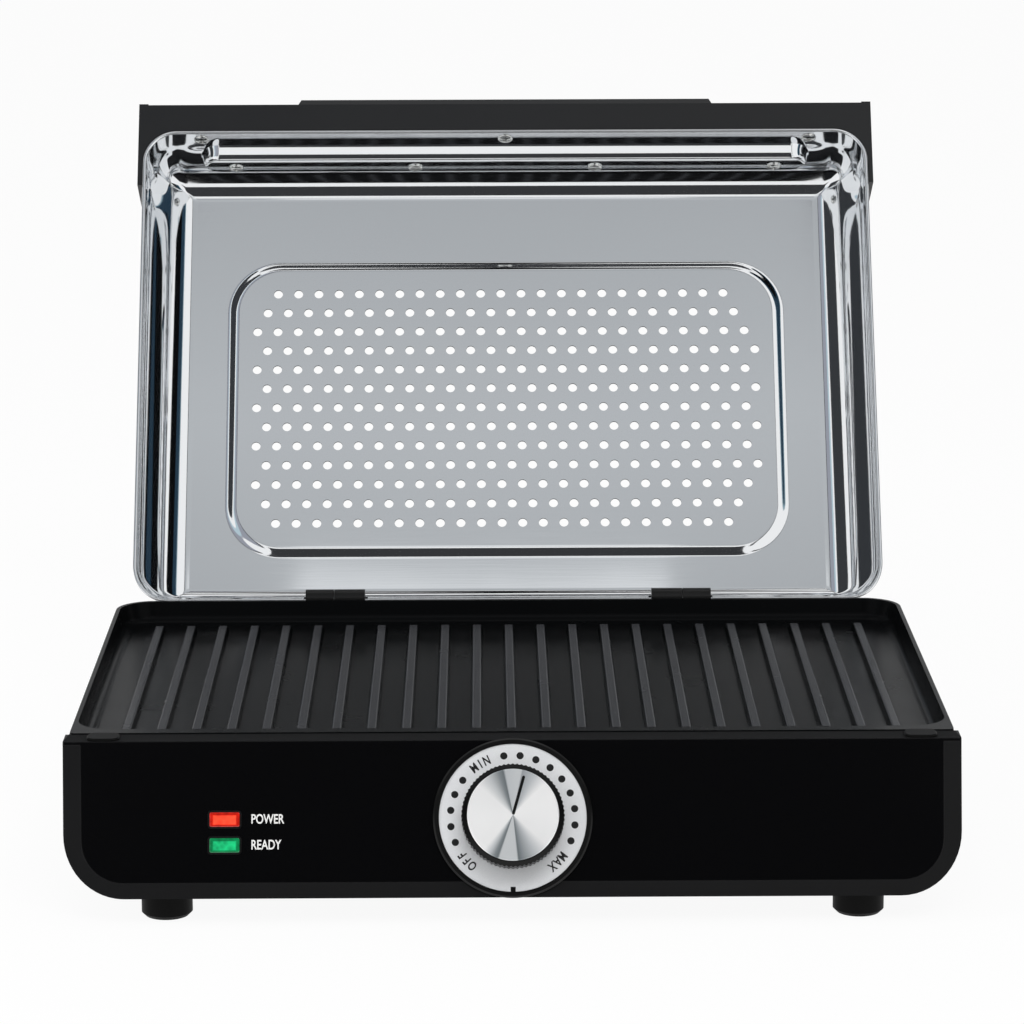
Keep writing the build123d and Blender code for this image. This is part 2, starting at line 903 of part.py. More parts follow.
def element_clips():
    """Sheet saddles that stand on the reflector and cradle the element."""
    clips = []
    groove_radius = element_diameter / 2 + clip_clearance
    for x in (-clip_x, clip_x):
        for y in element_ends():
            post = block(
                (x - clip_width / 2, x + clip_width / 2),
                (y - groove_radius - clip_thickness, y + groove_radius + clip_thickness),
                (reflector_floor + reflector_sheet, element_height),
            )
            start = (x - clip_width, y, element_height)
            groove = rod(start, (x + clip_width, y, element_height), groove_radius)
            legs = block(
                (x - clip_width, x + clip_width), (y - groove_radius, y + groove_radius),
                (reflector_floor + reflector_sheet + clip_thickness,
                 element_height - groove_radius - clip_thickness),
            )
            clips.append(single(post - groove - legs))
    return clips


def heat_reflector():
    """Shallow bright pan below the element."""
    middle = (reflector_front + reflector_rear) / 2
    width = 2 * reflector_half_width
    depth = reflector_rear - reflector_front
    outer = Pos(0, middle, 0) * RectangleRounded(width, depth, reflector_corner)
    inner = Pos(0, middle, 0) * RectangleRounded(
        width - 2 * reflector_sheet, depth - 2 * reflector_sheet, reflector_corner - reflector_sheet
    )
    top = reflector_floor + reflector_height
    pan = flat_prism(outer, reflector_floor, top)
    pan = pan - flat_prism(inner, reflector_floor + reflector_sheet, top)
    slot_half = bead_diameter / 2 + slide_gap
    for y in element_ends():
        pan = pan - block(
            (reflector_half_width - bead_length, reflector_half_width + bead_length),
            (y - slot_half, y + slot_half),
            (element_height - slot_half, element_height + slot_half),
        )
    holes = [(x, y, screw_diameter) for x, y in standoff_places()]
    holes.append((capillary_riser()[0], bulb_place()[1], capillary_hole))
    for x, y, diameter in holes:
        pan = pan - rod((x, y, reflector_floor - overcut), (x, y, top), diameter / 2)
    return single(pan)


def reflector_screws():
    """Four screws that hold the reflector down on its posts."""
    screws = []
    seat = reflector_floor + reflector_sheet
    for x, y in standoff_places():
        head = rod((x, y, seat), (x, y, seat + screw_head_height), screw_head_diameter / 2)
        tip = reflector_floor - screw_length + screw_tip_gap
        shank = rod((x, y, tip), (x, y, seat), screw_diameter / 2)
        screws.append(single(head + shank))
    return screws


def bulb_place():
    """Middle of the sensing bulb, between the first two runs of the element."""
    return (0, element_first_y + element_run_pitch / 2, element_height - bulb_drop)


def capillary_riser():
    """X of the capillary's rise through the reflector, and its height below it."""
    return bulb_place()[0] - bulb_length / 2 - capillary_offset, reflector_floor - capillary_drop


def sensor_bulb():
    """Sensing bulb with its thin capillary back to the thermostat."""
    x, y, z = bulb_place()
    bulb = rod((x - bulb_length / 2, y, z), (x + bulb_length / 2, y, z), bulb_diameter / 2)
    start = (dial * Pos(-thermostat_width / 4, 0, thermostat_back)).position
    run_in = (dial * Pos(-thermostat_width / 4, 0, thermostat_back - capillary_run_in)).position
    turn, low = capillary_riser()
    points = [
        tuple(start), tuple(run_in), (turn, run_in.Y + capillary_offset, low), (turn, y, low),
        (turn, y, z), (x - bulb_length / 2 + capillary_diameter, y, z),
    ]
    return single(bulb + tube_along(points, capillary_diameter / 2, capillary_bend))


def bulb_clips():
    """Two saddles that hold the bulb above the reflector."""
    x, y, z = bulb_place()
    clips = []
    radius = bulb_diameter / 2 + clip_clearance
    for side in (-1, 1):
        middle = x + side * bulb_length / 4
        post = block(
            (middle - clip_width / 2, middle + clip_width / 2),
            (y - radius - clip_thickness / 2, y + radius + clip_thickness / 2),
            (reflector_floor + reflector_sheet, z),
        )
        groove = rod((middle - clip_width, y, z), (middle + clip_width, y, z), radius)
        clips.append(single(post - groove))
    return clips


# Hinges


def post_profile(low, high):
    """Side view of a hinge post: a round knuckle over a plate on the rear wall."""
    plate = Polygon(
        (housing_depth, low), (housing_depth + post_plate_thickness, low),
        (hinge_y + knuckle_radius, high), (housing_depth, high), align=None,
    )
    return plate + Pos(hinge_y, hinge_z) * Circle(knuckle_radius)


def hinge_post(middle_x):
    """Moulded post on the rear wall with a bored knuckle on top."""
    profile = post_profile(lip_height - post_plate_height, hinge_z)
    solid = Pos(middle_x, 0, 0) * extrude(Plane.YZ * profile, post_width / 2, both=True)
    start = (middle_x - post_width, hinge_y, hinge_z)
    solid = solid - rod(start, (middle_x + post_width, hinge_y, hinge_z), pin_diameter / 2)
    z = post_screw_height
    behind = (middle_x, hinge_y + 2 * knuckle_radius, z)
    solid = solid - rod((middle_x, housing_depth, z), behind, hinge_screw_diameter / 2)
    return single(solid - rod((middle_x, post_screw_seat, z), behind, hinge_screw_head / 2))


def hinge_pin(side):
    """Steel pin, tight in the post and running in the lid's arm."""
    low = post_inner_x + pin_end_margin
    high = arm_inner_x + arm_width - pin_end_margin
    start = (side * low, hinge_y, hinge_z)
    return single(rod(start, (side * high, hinge_y, hinge_z), pin_diameter / 2))


# Lid, modelled closed and then swung open about the hinge


def lid_y(from_hinge):
    """Y of a place on the closed lid, by its distance from the hinge axis."""
    return hinge_y - from_hinge


def lid_z(height):
    """Z of a place on the closed lid, by its height over the hinge axis."""
    return hinge_z + height


def lid_point(turn, inward):
    """Inset and height of the lid's wall at a point of its elliptical section."""
    across = lid_wall_inset * (1 - cos(turn))
    up = rim_lift + lid_height * sin(turn)
    slope = sqrt((lid_height * cos(turn)) ** 2 + (lid_wall_inset * sin(turn)) ** 2)
    across += inward * lid_height * cos(turn) / slope
    up -= inward * lid_wall_inset * sin(turn) / slope
    return across, up


def lid_outline(inset):
    """Plan of the closed lid at an inset from the sheet's foot, round or nearly sharp."""
    width = lid_width - 2 * hem_proud - 2 * inset
    depth = lid_depth - 2 * hem_proud - 2 * inset
    corner = max(lid_corner - hem_proud - inset, lid_flat_corner)
    return Pos(0, lid_y(lid_rear_gap + lid_depth / 2), 0) * RectangleRounded(width, depth, corner)


def lid_form(inward):
    """Solid form of the lid's outside, or of a surface that far inside it."""
    sections = []
    for turn in (0, 15, 30, 45, 60, 75, 90):
        inset, height = lid_point(radians(turn), inward)
        sections.append(Pos(0, 0, lid_z(height)) * lid_outline(inset))
    skirt = flat_prism(lid_outline(inward), lid_z(rim_lift - hem_height), lid_z(rim_lift))
    return loft(sections), skirt


def panel_plug(top):
    """Stepped emboss of the lid's top, pressed towards the food."""
    middle = lid_y(panel_from_hinge)
    upper = Pos(0, middle, lid_z(top)) * RectangleRounded(panel_width, panel_depth, panel_corner)
    lower = Pos(0, middle, lid_z(top - panel_step)) * RectangleRounded(
        panel_width - 2 * panel_slope, panel_depth - 2 * panel_slope, panel_corner - panel_slope
    )
    return loft([lower, upper]) + extrude(upper, overcut)


def channel_plug(grow):
    """Long flat with round ends, pressed into the lid's front wall for the handle."""
    height = channel_high - channel_low + 2 * grow
    slot = SlotOverall(channel_length + 2 * grow, height)
    outline = Pos(0, lid_z((channel_low + channel_high) / 2)) * slot
    return front_prism(outline, front_wall_y(rim_lift) - handle_reach, channel_floor_y + grow)


def hole_places():
    """Plan positions of the lid's vent holes: staggered rows with cut corners."""
    last = hole_rows - 1
    for row in range(hole_rows):
        from_hinge = panel_from_hinge + (last / 2 - row) * hole_pitch
        stagger = -hole_pitch / 4 if row % 2 == 0 else hole_pitch / 4
        skip_left = 1 if row in (0, last) else 0
        skip_right = 1 if row in (0, 1, last - 1, last) else 0
        for column in range(skip_left, hole_columns - skip_right):
            x = (column - (hole_columns - 1) / 2) * hole_pitch + stagger
            yield x, lid_y(from_hinge)


def notch_form(middle_x, half_width):
    """Room round the hinge knuckles in the lid's rear edge."""
    return rod(
        (middle_x - half_width, hinge_y, hinge_z), (middle_x + half_width, hinge_y, hinge_z),
        knuckle_radius + notch_clearance,
    )


def handle_screw_places():
    """Places (x, height) of the handle's screws: three at the rim, four in the channel."""
    rim = [(x, flange_screw_height) for x in (-flange_screw_offset, 0, flange_screw_offset)]
    middle = (channel_screw_count - 1) / 2
    channel = [
        ((index - middle) * channel_screw_pitch, channel_screw_height)
        for index in range(channel_screw_count)
    ]
    return rim, channel


def wall_inset(height):
    """Inset of the lid's outside at a height over the hinge axis."""
    return lid_wall_inset * (1 - sqrt(1 - ((height - rim_lift) / lid_height) ** 2))


def sheet_reach(height):
    """Horizontal thickness of the lid's sloping wall at a height."""
    rise = (height - rim_lift) / lid_height
    lean = lid_wall_inset * rise / (lid_height * sqrt(1 - rise ** 2))
    return lid_sheet * sqrt(1 + lean ** 2)


def rear_wall_y(height):
    """Y of the closed lid's rear wall on the outside at a height."""
    return lid_y(lid_rear_gap + hem_proud + wall_inset(height))


def front_wall_y(height):
    """Y of the closed lid's front wall on the outside at a height."""
    return lid_y(lid_rear_gap + lid_depth - hem_proud - wall_inset(height))


def wall_hole(x, y, height, diameter):
    """Round cut along Y through the closed lid's wall."""
    z = lid_z(height)
    return rod((x, y - overcut, z), (x, y + overcut, z), diameter / 2)


def lid_shell():
    """Drawn and perforated sheet with its hem, emboss, channel and hinge notches."""
    outer_form, outer_skirt = lid_form(0)
    inner_form, inner_skirt = lid_form(lid_sheet)
    outer = outer_form - panel_plug(lid_top) - channel_plug(0)
    inner = inner_form + inner_skirt - panel_plug(lid_top - lid_sheet) - channel_plug(lid_sheet)
    hem = flat_prism(lid_outline(-hem_proud), lid_z(rim_lift), lid_z(rim_lift + hem_height))
    hem = hem - flat_prism(lid_outline(hem_width - hem_proud), 0, lid_z(rim_lift + hem_height))
    shell = outer - inner + hem
    notch_half = (post_width + knuckle_gap + arm_width) / 2 + notch_clearance
    notch_middle = post_inner_x + (post_width + knuckle_gap + arm_width) / 2
    notch = notch_form(notch_middle, notch_half)
    shell = shell - notch - mirrored(notch)
    sheet_middle = lid_z(lid_top - panel_step - lid_sheet / 2)
    outline = RegularPolygon(hole_diameter / 2, hole_sides)
    hole = extrude(outline, 1.5 * lid_sheet, both=True)
    shell = shell - [Pos(x, y, sheet_middle) * hole for x, y in hole_places()]
    rim, channel = handle_screw_places()
    for x, height in rim:
        shell = shell - wall_hole(x, front_wall_y(height), height, screw_diameter)
    for x, height in channel:
        shell = shell - wall_hole(x, channel_floor_y, height, screw_diameter)
    for side in (-1, 1):
        x = side * (arm_inner_x + arm_width / 2)
        for height in rivet_heights:
            shell = shell - wall_hole(x, rear_wall_y(height), height, hinge_screw_diameter)
    return single(shell)


def handle_grip(front_edge):
    """Thicker middle of the handle with a sloping lower edge."""
    face = front_edge - grip_proud
    root = front_edge + handle_wall / 2
    grip_outline = Polygon(
        (root, lid_z(grip_bottom - grip_proud)), (front_edge, lid_z(grip_bottom - grip_proud)),
        (face, lid_z(grip_bottom)), (face, lid_z(grip_top - grip_proud)),
        (front_edge, lid_z(grip_top)), (root, lid_z(grip_top)), align=None,
    )
    grip = extrude(Plane.YZ * grip_outline, grip_width / 2, both=True)
    return chamfer(grip.edges().filter_by(Axis.Z).sort_by(Axis.Y)[:2], grip_end, grip_proud)


def lid_handle():
    """Moulded bar round the lid's front edge, hollow behind, with screw posts."""
    half = handle_width / 2
    rim_y = lid_y(lid_rear_gap + lid_depth)
    front_edge = rim_y - handle_reach
    wrap_edge = rim_y + handle_wrap
    low, high = lid_z(handle_bottom), lid_z(handle_top)
    body = block((-half, half), (front_edge, wrap_edge), (low, high))
    front_corners = body.edges().filter_by(Axis.Z).sort_by(Axis.Y)[:2]
    body = fillet(front_corners, handle_corner)
    top_front = body.faces().sort_by(Axis.Z)[-1].edges().sort_by(Axis.Y)[:3]
    body = fillet(top_front, handle_edge)
    for side in (-1, 1):
        x = side * (half - end_rib_width / 2)
        body = body + block(
            (x - end_rib_width / 2, x + end_rib_width / 2),
            (front_edge - end_rib_proud, front_edge + handle_corner),
            (low, low + end_rib_width),
        )
    body = body + handle_grip(front_edge)
    hollow = block(
        (-half + handle_wall, half - handle_wall),
        (front_edge + handle_wall, wrap_edge - handle_wall),
        (low + handle_wall, high - handle_wall),
    )
    seat_form, seat_skirt = lid_form(-handle_seat_clearance)
    hem_room = flat_prism(
        lid_outline(-hem_proud - handle_seat_clearance),
        lid_z(0), lid_z(rim_lift + hem_height + handle_seat_clearance),
    )
    seat = seat_form - channel_plug(-handle_seat_clearance)
    handle = body - hollow - hem_room - seat
    rim, channel = handle_screw_places()
    post_radius = screw_diameter / 2 + boss_wall
    root = front_edge + handle_wall / 2
    ends = [(x, lid_z(height), front_wall_y(height) - handle_seat_clearance) for x, height in rim]
    ends += [(x, lid_z(height), channel_floor_y) for x, height in channel]
    for x, z, end in ends:
        handle = handle + rod((x, root, z), (x, end, z), post_radius)
    for x, z, end in ends:
        handle = handle - rod((x, end - screw_length, z), (x, end + overcut, z), screw_diameter / 2)
    return single(handle)


def handle_screws(places, seat_y):
    """Pan-head screws from inside the lid into the handle."""
    screws = []
    for x, height in places:
        y = seat_y(height)
        z = lid_z(height)
        head = rod((x, y, z), (x, y + screw_head_height, z), screw_head_diameter / 2)
        head = chamfer(head.edges().sort_by(Axis.Y)[-1], screw_head_edge)
        shank = rod((x, y - screw_length, z), (x, y, z), screw_diameter / 2)
        screws.append(single(head + shank))
    return screws


def flange_screw_seat(height):
    """Where the heads of the rim screws sit, inside the curved wall."""
    top = height + screw_head_diameter / 2
    return front_wall_y(top) + sheet_reach(top)


def channel_screw_seat(height):
    """Where the heads of the channel screws sit."""
    return channel_floor_y + lid_sheet


def arm_outer_y(height):
    """Y of the closed lid's hinge arm on its outer face at a height."""
    foot = rear_wall_y(rim_lift) + arm_thickness
    tip = rear_wall_y(arm_height) + arm_thickness
    share = max(0, (height - arm_bend_height) / (arm_height - arm_bend_height))
    return foot + (tip - foot) * share


def rivet_seat(height):
    """Y of the flat that a rivet's outer head sits on, let into the arm."""
    return arm_outer_y(height + hinge_screw_head / 2) - rivet_recess


def hinge_arm(side):
    """Moulded arm: a knuckle on the pin and a tongue up the lid's rear wall."""
    middle = side * (arm_inner_x + arm_width / 2)
    low = min(side * arm_inner_x, side * (arm_inner_x + arm_width))
    high = low + arm_width
    knuckle = rod((low, hinge_y, hinge_z), (high, hinge_y, hinge_z), knuckle_radius)
    tongue = side_prism(
        [
            (arm_outer_y(0), lid_z(0)), (arm_outer_y(0), lid_z(arm_bend_height)),
            (arm_outer_y(arm_height), lid_z(arm_height)),
            (rear_wall_y(arm_height) - arm_thickness, lid_z(arm_height)),
            (hinge_y - knuckle_radius, lid_z(0)),
        ],
        arm_width / 2, middle,
    )
    seat_form, seat_skirt = lid_form(-sheet_gap)
    start = (low - overcut, hinge_y, hinge_z)
    end = (high + overcut, hinge_y, hinge_z)
    knuckle_room = rod(start, end, knuckle_radius + notch_clearance)
    arm = knuckle + (tongue - (seat_form - knuckle_room))
    arm = arm - rod(start, end, pin_diameter / 2 + pin_clearance)
    for height in rivet_heights:
        z = lid_z(height)
        inside = rear_wall_y(height) - 2 * arm_thickness
        outside = arm_outer_y(0) + overcut
        arm = arm - rod((middle, inside, z), (middle, outside, z), hinge_screw_diameter / 2)
        seat = (middle, rivet_seat(height), z)
        arm = arm - rod(seat, (middle, outside, z), hinge_screw_head / 2 + sheet_gap)
    return single(arm)


def hinge_arm_rivets():
    """Round-head rivets through the lid's rear wall and the hinge arms."""
    rivets = []
    for side in (-1, 1):
        x = side * (arm_inner_x + arm_width / 2)
        for height in rivet_heights:
            z = lid_z(height)
            top = height + hinge_screw_head / 2
            inside = rear_wall_y(top) - sheet_reach(top)
            outside = rivet_seat(height)
            shank = rod((x, inside, z), (x, outside, z), hinge_screw_diameter / 2)
            inner_end = (x, inside - hinge_screw_head_height, z)
            inner_head = rod(inner_end, (x, inside, z), hinge_screw_head / 2)
            outer_end = (x, outside + hinge_screw_head_height, z)
            outer_head = rod((x, outside, z), outer_end, hinge_screw_head / 2)
            rivets.append(single(shank + inner_head + outer_head))
    return rivets


def post_screws():
    """Screws that hold the hinge posts on the rear wall, with their heads let in."""
    screws = []
    z = post_screw_height
    for side in (-1, 1):
        x = side * (post_inner_x + post_width / 2)
        seat = (x, post_screw_seat, z)
        head = rod(seat, (x, post_screw_seat + hinge_screw_head_height, z), hinge_screw_head / 2)
        shank = rod((x, housing_depth - housing_wall, z), seat, hinge_screw_diameter / 2)
        screws.append(single(head + shank))
    return screws


# Drip tray


def tray_outline(grow, corner):
    """Plan of the drip tray inside the housing."""
    rear = housing_depth - housing_wall
    width = 2 * (tray_half_width + grow)
    depth = rear - tray_front + 2 * grow
    return Pos(0, (rear + tray_front) / 2, 0) * RectangleRounded(width, depth, corner)


def drip_tray():
    """Pressed steel tray with sloping walls."""
    low = tray_bottom
    high = tray_bottom + tray_height
    outer = loft([
        Pos(0, 0, low) * tray_outline(-tray_rim, tray_corner),
        Pos(0, 0, high) * tray_outline(0, tray_corner + tray_rim),
    ])
    inner = loft([
        Pos(0, 0, low + tray_sheet) * tray_outline(-tray_rim - tray_sheet, tray_corner - tray_sheet),
        Pos(0, 0, high) * tray_outline(-tray_sheet, tray_corner + tray_rim - tray_sheet),
    ])
    return single(outer - inner)


def tray_pull():
    """Moulded front of the tray: a plate over the opening with a lip to pull on."""
    half = opening_half + pull_border
    low = foot_height + pull_floor_gap
    high = opening_top + pull_border
    y = tray_rear
    plate = block((-half, half), (y, y + pull_thickness), (low, high))
    plate = fillet(plate.edges().filter_by(Axis.Y), pull_corner)
    root_z = (low + high) / 2 + pull_lip_rise
    edge_z = root_z - pull_lip_fall
    tip_z = edge_z - pull_lip_hook
    outer_y = y + pull_lip_depth
    inner_y = outer_y - pull_lip_thickness
    lip = Polygon(
        (y, root_z), (outer_y, edge_z), (outer_y, tip_z), (inner_y, tip_z),
        (inner_y, edge_z - pull_lip_thickness), (y, root_z - pull_lip_thickness), align=None,
    )
    lip_bar = extrude(Plane.YZ * lip, pull_lip_width / 2, both=True)
    tongue_low = tray_bottom + pull_tongue_rise
    tongue = block(
        (-pull_tongue_width / 2, pull_tongue_width / 2),
        (housing_depth - housing_wall, y),
        (tongue_low, tongue_low + pull_thickness),
    )
    return single(plate + lip_bar + tongue)


def tray_rail(side):
    """Angle section on the housing's floor that guides one side of the tray."""
    inner = tray_half_width + slide_gap
    outer = inner + rail_thickness
    top = tray_bottom + tray_height - rail_top_gap
    shelf = floor_height + tray_floor_gap
    profile = Polygon(
        (inner - rail_lip, floor_height), (outer, floor_height), (outer, top),
        (inner, top), (inner, shelf), (inner - rail_lip, shelf), align=None,
    )
    rail = front_prism(profile, rail_start, housing_depth - housing_wall)
    return single(rail if side > 0 else mirrored(rail))


# Wiring parts


def cable_gland():
    """Bush in the rear wall where the supply lead comes in."""
    back = housing_depth
    inner_end = (gland_x, back - housing_wall - gland_inner_reach, gland_height)
    flange_end = (gland_x, back + gland_flange_thickness, gland_height)
    outer_end = (gland_x, back + gland_flange_thickness + gland_proud, gland_height)
    body = rod(inner_end, (gland_x, back, gland_height), gland_diameter / 2)
    flange = rod((gland_x, back, gland_height), flange_end, gland_flange / 2)
    nose = rod(flange_end, outer_end, gland_nose_diameter / 2)
    return single(body + flange + nose - rod(inner_end, outer_end, gland_bore / 2))


def terminal_block():
    """Ceramic block for the supply, with three wire ways."""
    body = block(
        (block_x - block_width / 2, block_x + block_width / 2),
        (block_y - block_length / 2, block_y + block_length / 2),
        (floor_height, floor_height + block_height),
    )
    body = fillet(body.edges().filter_by(Axis.Z), block_corner)
    top = floor_height + block_height
    for index in (-1, 0, 1):
        y = block_y + index * wire_way_pitch
        body = body - rod((block_x, y, top - wire_way_depth), (block_x, y, top), wire_way_diameter / 2)
    return single(body)


def thermal_fuse():
    """Thermal fuse clipped below the reflector."""
    z = reflector_floor - fuse_diameter / 2
    start = (block_x - fuse_length / 2, fuse_y, z)
    return single(rod(start, (block_x + fuse_length / 2, fuse_y, z), fuse_diameter / 2))


def wires():
    """Insulated leads: gland to block, block to element, block to thermostat."""
    top = floor_height + block_height
    first_y, last_y = element_ends()
    low_z = top - wire_way_depth
    clear_z = top + wire_rise
    outside = reflector_half_width + 2 * wire_diameter
    end_x = element_end_x + tab_length
    turn_x = end_x + 2 * wire_diameter
    case_x = thermostat_width / 4
    case_back = (dial * Pos(case_x, 0, thermostat_back)).position
    case_out = (dial * Pos(case_x, 0, thermostat_back - wire_rise)).position
    supply = [
        (gland_x, housing_depth - 4, gland_height), (gland_x, housing_depth - 14, gland_height),
        (block_x, block_y + wire_way_pitch + 12, clear_z), (block_x, block_y + wire_way_pitch, clear_z),
        (block_x, block_y + wire_way_pitch, low_z),
    ]
    to_element = [
        (block_x, block_y, low_z), (block_x, block_y, clear_z), (outside, block_y, clear_z + 4),
        (turn_x, last_y - 12, element_height), (turn_x, last_y, element_height),
        (end_x, last_y, element_height),
    ]
    to_thermostat = [
        (block_x, block_y - wire_way_pitch, low_z), (block_x, block_y - wire_way_pitch, clear_z),
        (block_x, tray_front - 12, clear_z), (40, tray_front - 12, clear_z),
        tuple(case_out), tuple(case_back),
    ]
    routes = (supply, to_element, to_thermostat)
    return [single(tube_along(points, wire_diameter / 2, wire_bend)) for points in routes]


def opened(solids):
    """Swing lid pieces from closed to open about the hinge."""
    axis = Axis((0, hinge_y, hinge_z), (1, 0, 0))
    return [solid.rotate(axis, -lid_open_angle) for solid in solids]


def all_nodes():
    """Every node's name and its solids, still in the modelling frame."""
    rim, channel = handle_screw_places()
    nodes = {
        "base_housing": [base_housing()],
        "front_fascia": [front_fascia()],
        "ledge_pads": pads(),
        "dial_collar": [dial_collar()],
        "dial_scale_ring": [dial_scale_ring()],
        "power_lamp_lens": [lamp_lens(upper_lamp_drop)],
        "ready_lamp_lens": [lamp_lens(lower_lamp_drop)],
        "lamp_bezels": [lamp_bezel(drop) for drop in lamp_drops()],
        "thermostat_body": [thermostat_body()],
        "thermostat_bracket": [thermostat_bracket()],
        "thermostat_nut": [thermostat_nut()],
        "grill_plate": [grill_plate()],
        "heating_element": [heating_element()],
        "element_beads": element_beads(),
        "element_tabs": element_tabs(),
        "element_clips": element_clips(),
        "heat_reflector": [heat_reflector()],
        "reflector_screws": reflector_screws(),
        "sensor_bulb": [sensor_bulb()],
        "bulb_clips": bulb_clips(),
        "tray_rail_left": [tray_rail(-1)],
        "tray_rail_right": [tray_rail(1)],
        "cable_gland": [cable_gland()],
        "terminal_block": [terminal_block()],
        "thermal_fuse": [thermal_fuse()],
        "wires": wires(),
        "hinge_post_left": [hinge_post(-(post_inner_x + post_width / 2))],
        "hinge_post_right": [hinge_post(post_inner_x + post_width / 2)],
        "hinge_pin_left": [hinge_pin(-1)],
        "hinge_pin_right": [hinge_pin(1)],
        "hinge_post_screws": post_screws(),
        "lid_shell": opened([lid_shell()]),
        "lid_handle": opened([lid_handle()]),
        "rim_screws": opened(handle_screws(rim, flange_screw_seat)),
        "channel_screws": opened(handle_screws(channel, channel_screw_seat)),
        "hinge_arm_left": opened([hinge_arm(-1)]),
        "hinge_arm_right": opened([hinge_arm(1)]),
        "hinge_arm_rivets": opened(hinge_arm_rivets()),
        "knob_skirt": [knob_skirt()],
        "knob_cap": [knob_cap()],
        "knob_pointer": [knob_pointer()],
        "thermostat_spindle": [spindle_solid()],
        "drip_tray": [drip_tray()],
        "tray_pull": [tray_pull()],
    }
    for name, x, y in foot_places():
        nodes["foot_" + name] = [single(foot(x, y))]
    nodes["foot_screws"] = [foot_screw(x, y) for name, x, y in foot_places()]
    return nodes


nodes = all_nodes()
whole = Compound([solid for solids in nodes.values() for solid in solids]).bounding_box()
shift = Pos(-(whole.min.X + whole.max.X) / 2, -(whole.min.Y + whole.max.Y) / 2, -whole.min.Z)
os.makedirs("parts", exist_ok=True)
for name, solids in nodes.items():
    moved = [shift * solid for solid in solids]
    export_step(moved[0] if len(moved) == 1 else Compound(moved), "parts/" + name + ".step")
print("size", whole.size)
print("shift", shift.position)
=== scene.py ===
# %% [markdown]
# # A table-top plancha grill with its lid open
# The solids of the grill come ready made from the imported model: a moulded tub, a leaning glossy
# front, a ribbed cooking plate, a drawn steel lid with a handle, a dial and a drip tray. This
# lesson dresses them: it gives each one the finish of its real material, and it makes again in
# finer mesh the few pieces that a solid model only sketches.
#
# Everything is in metres. X points right, Y to the back and Z up, and the grill stands on z = 0.

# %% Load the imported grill
import math

import bmesh
import bpy
from mathutils import Matrix, Vector
from mathutils.geometry import delaunay_2d_cdt


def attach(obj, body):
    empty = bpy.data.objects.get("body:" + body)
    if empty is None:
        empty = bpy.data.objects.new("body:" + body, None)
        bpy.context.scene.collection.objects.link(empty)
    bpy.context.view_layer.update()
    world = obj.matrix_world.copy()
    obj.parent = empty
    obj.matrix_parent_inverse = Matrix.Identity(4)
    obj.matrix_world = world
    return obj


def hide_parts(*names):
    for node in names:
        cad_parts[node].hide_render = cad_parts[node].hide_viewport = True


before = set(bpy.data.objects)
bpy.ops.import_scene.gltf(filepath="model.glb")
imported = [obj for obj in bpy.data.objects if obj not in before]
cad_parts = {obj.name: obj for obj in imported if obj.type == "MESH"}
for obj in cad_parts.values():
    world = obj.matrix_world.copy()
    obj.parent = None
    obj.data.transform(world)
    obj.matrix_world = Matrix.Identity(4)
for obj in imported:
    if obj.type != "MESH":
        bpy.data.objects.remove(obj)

for leftover in ("Cube", "Light", "Camera"):
    if leftover in bpy.data.objects:
        bpy.data.objects.remove(bpy.data.objects[leftover])
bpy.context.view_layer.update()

# %% [markdown]
# ## The camera
# The photograph looks a little down on the grill from straight in front, through a long lens.
# The three angles and the place below were found by fitting known points of the solids, such as
# the ends of the front edge and the corners of the lid, to the same points of the photograph. A
# camera looks along its own -Z, so its matrix has the picture's right, its up and the way back.

# %% Stand the camera where the photograph was taken
scene = bpy.context.scene
pitch, yaw, roll = 0.205, -0.0067, -0.0031
camera_place = Vector((-0.01217, -2.05435, 0.5694))
focal_pixels, picture_pixels, sensor_width = 4170, 1024, 36.0


def placed(name, data):
    """Put a mesh, a lamp, a camera or letters into the scene as an object."""
    made = bpy.data.objects.new(name, data)
    scene.collection.objects.link(made)
    return made


def with_axes(across, along, out, place):
    """Matrix whose three directions and place are given."""
    return Matrix.Translation(place) @ Matrix((across, along, out)).transposed().to_4x4()


forward = Vector((-math.sin(yaw) * math.cos(pitch), math.cos(yaw) * math.cos(pitch), -math.sin(pitch)))
level_right = Vector((math.cos(yaw), math.sin(yaw), 0))
level_up = level_right.cross(forward)
picture_right = math.cos(roll) * level_right + math.sin(roll) * level_up
picture_up = math.cos(roll) * level_up - math.sin(roll) * level_right

camera = placed("camera", bpy.data.cameras.new("camera"))
camera.matrix_world = with_axes(picture_right, picture_up, -forward, camera_place)
camera.data.sensor_width = sensor_width
camera.data.lens = sensor_width * focal_pixels / picture_pixels
camera.data.clip_end = 100
bpy.context.scene.camera = camera
bpy.context.scene.view_settings.view_transform = "Standard"
print("lens in mm:", round(camera.data.lens, 1))

# %% [markdown]
# ## Colours and nodes
# A colour picked on a screen is an sRGB value. Blender's shaders count in linear light, so each
# colour goes through one function. A second small function adds a node, sets it and links it,
# which keeps each finish short enough to read as a recipe. A node that is linked to another
# stands for its first output; where a later output is meant, it is named.


# %% Helpers for every finish
def linear(colour, share=1.0):
    """Turn an sRGB hex colour such as c8ccd0 to the linear values that shaders use, times a share."""
    channels = [int(colour[start:start + 2], 16) / 255 for start in (0, 2, 4)]
    return [share * (c / 12.92 if c <= 0.04045 else ((c + 0.055) / 1.055) ** 2.4) for c in channels] + [1]


def add(tree, kind, values=(), links=(), **settings):
    """Add a node with its settings, its fixed values and the links that come into it."""
    made = tree.nodes.new("ShaderNode" + kind)
    for name, value in settings.items():
        setattr(made, name, value)
    for socket, value in dict(values).items():
        made.inputs[socket].default_value = value
    for socket, source in dict(links).items():
        source = source.outputs[0] if isinstance(source, bpy.types.Node) else source
        tree.links.new(source, made.inputs[socket])
    return made


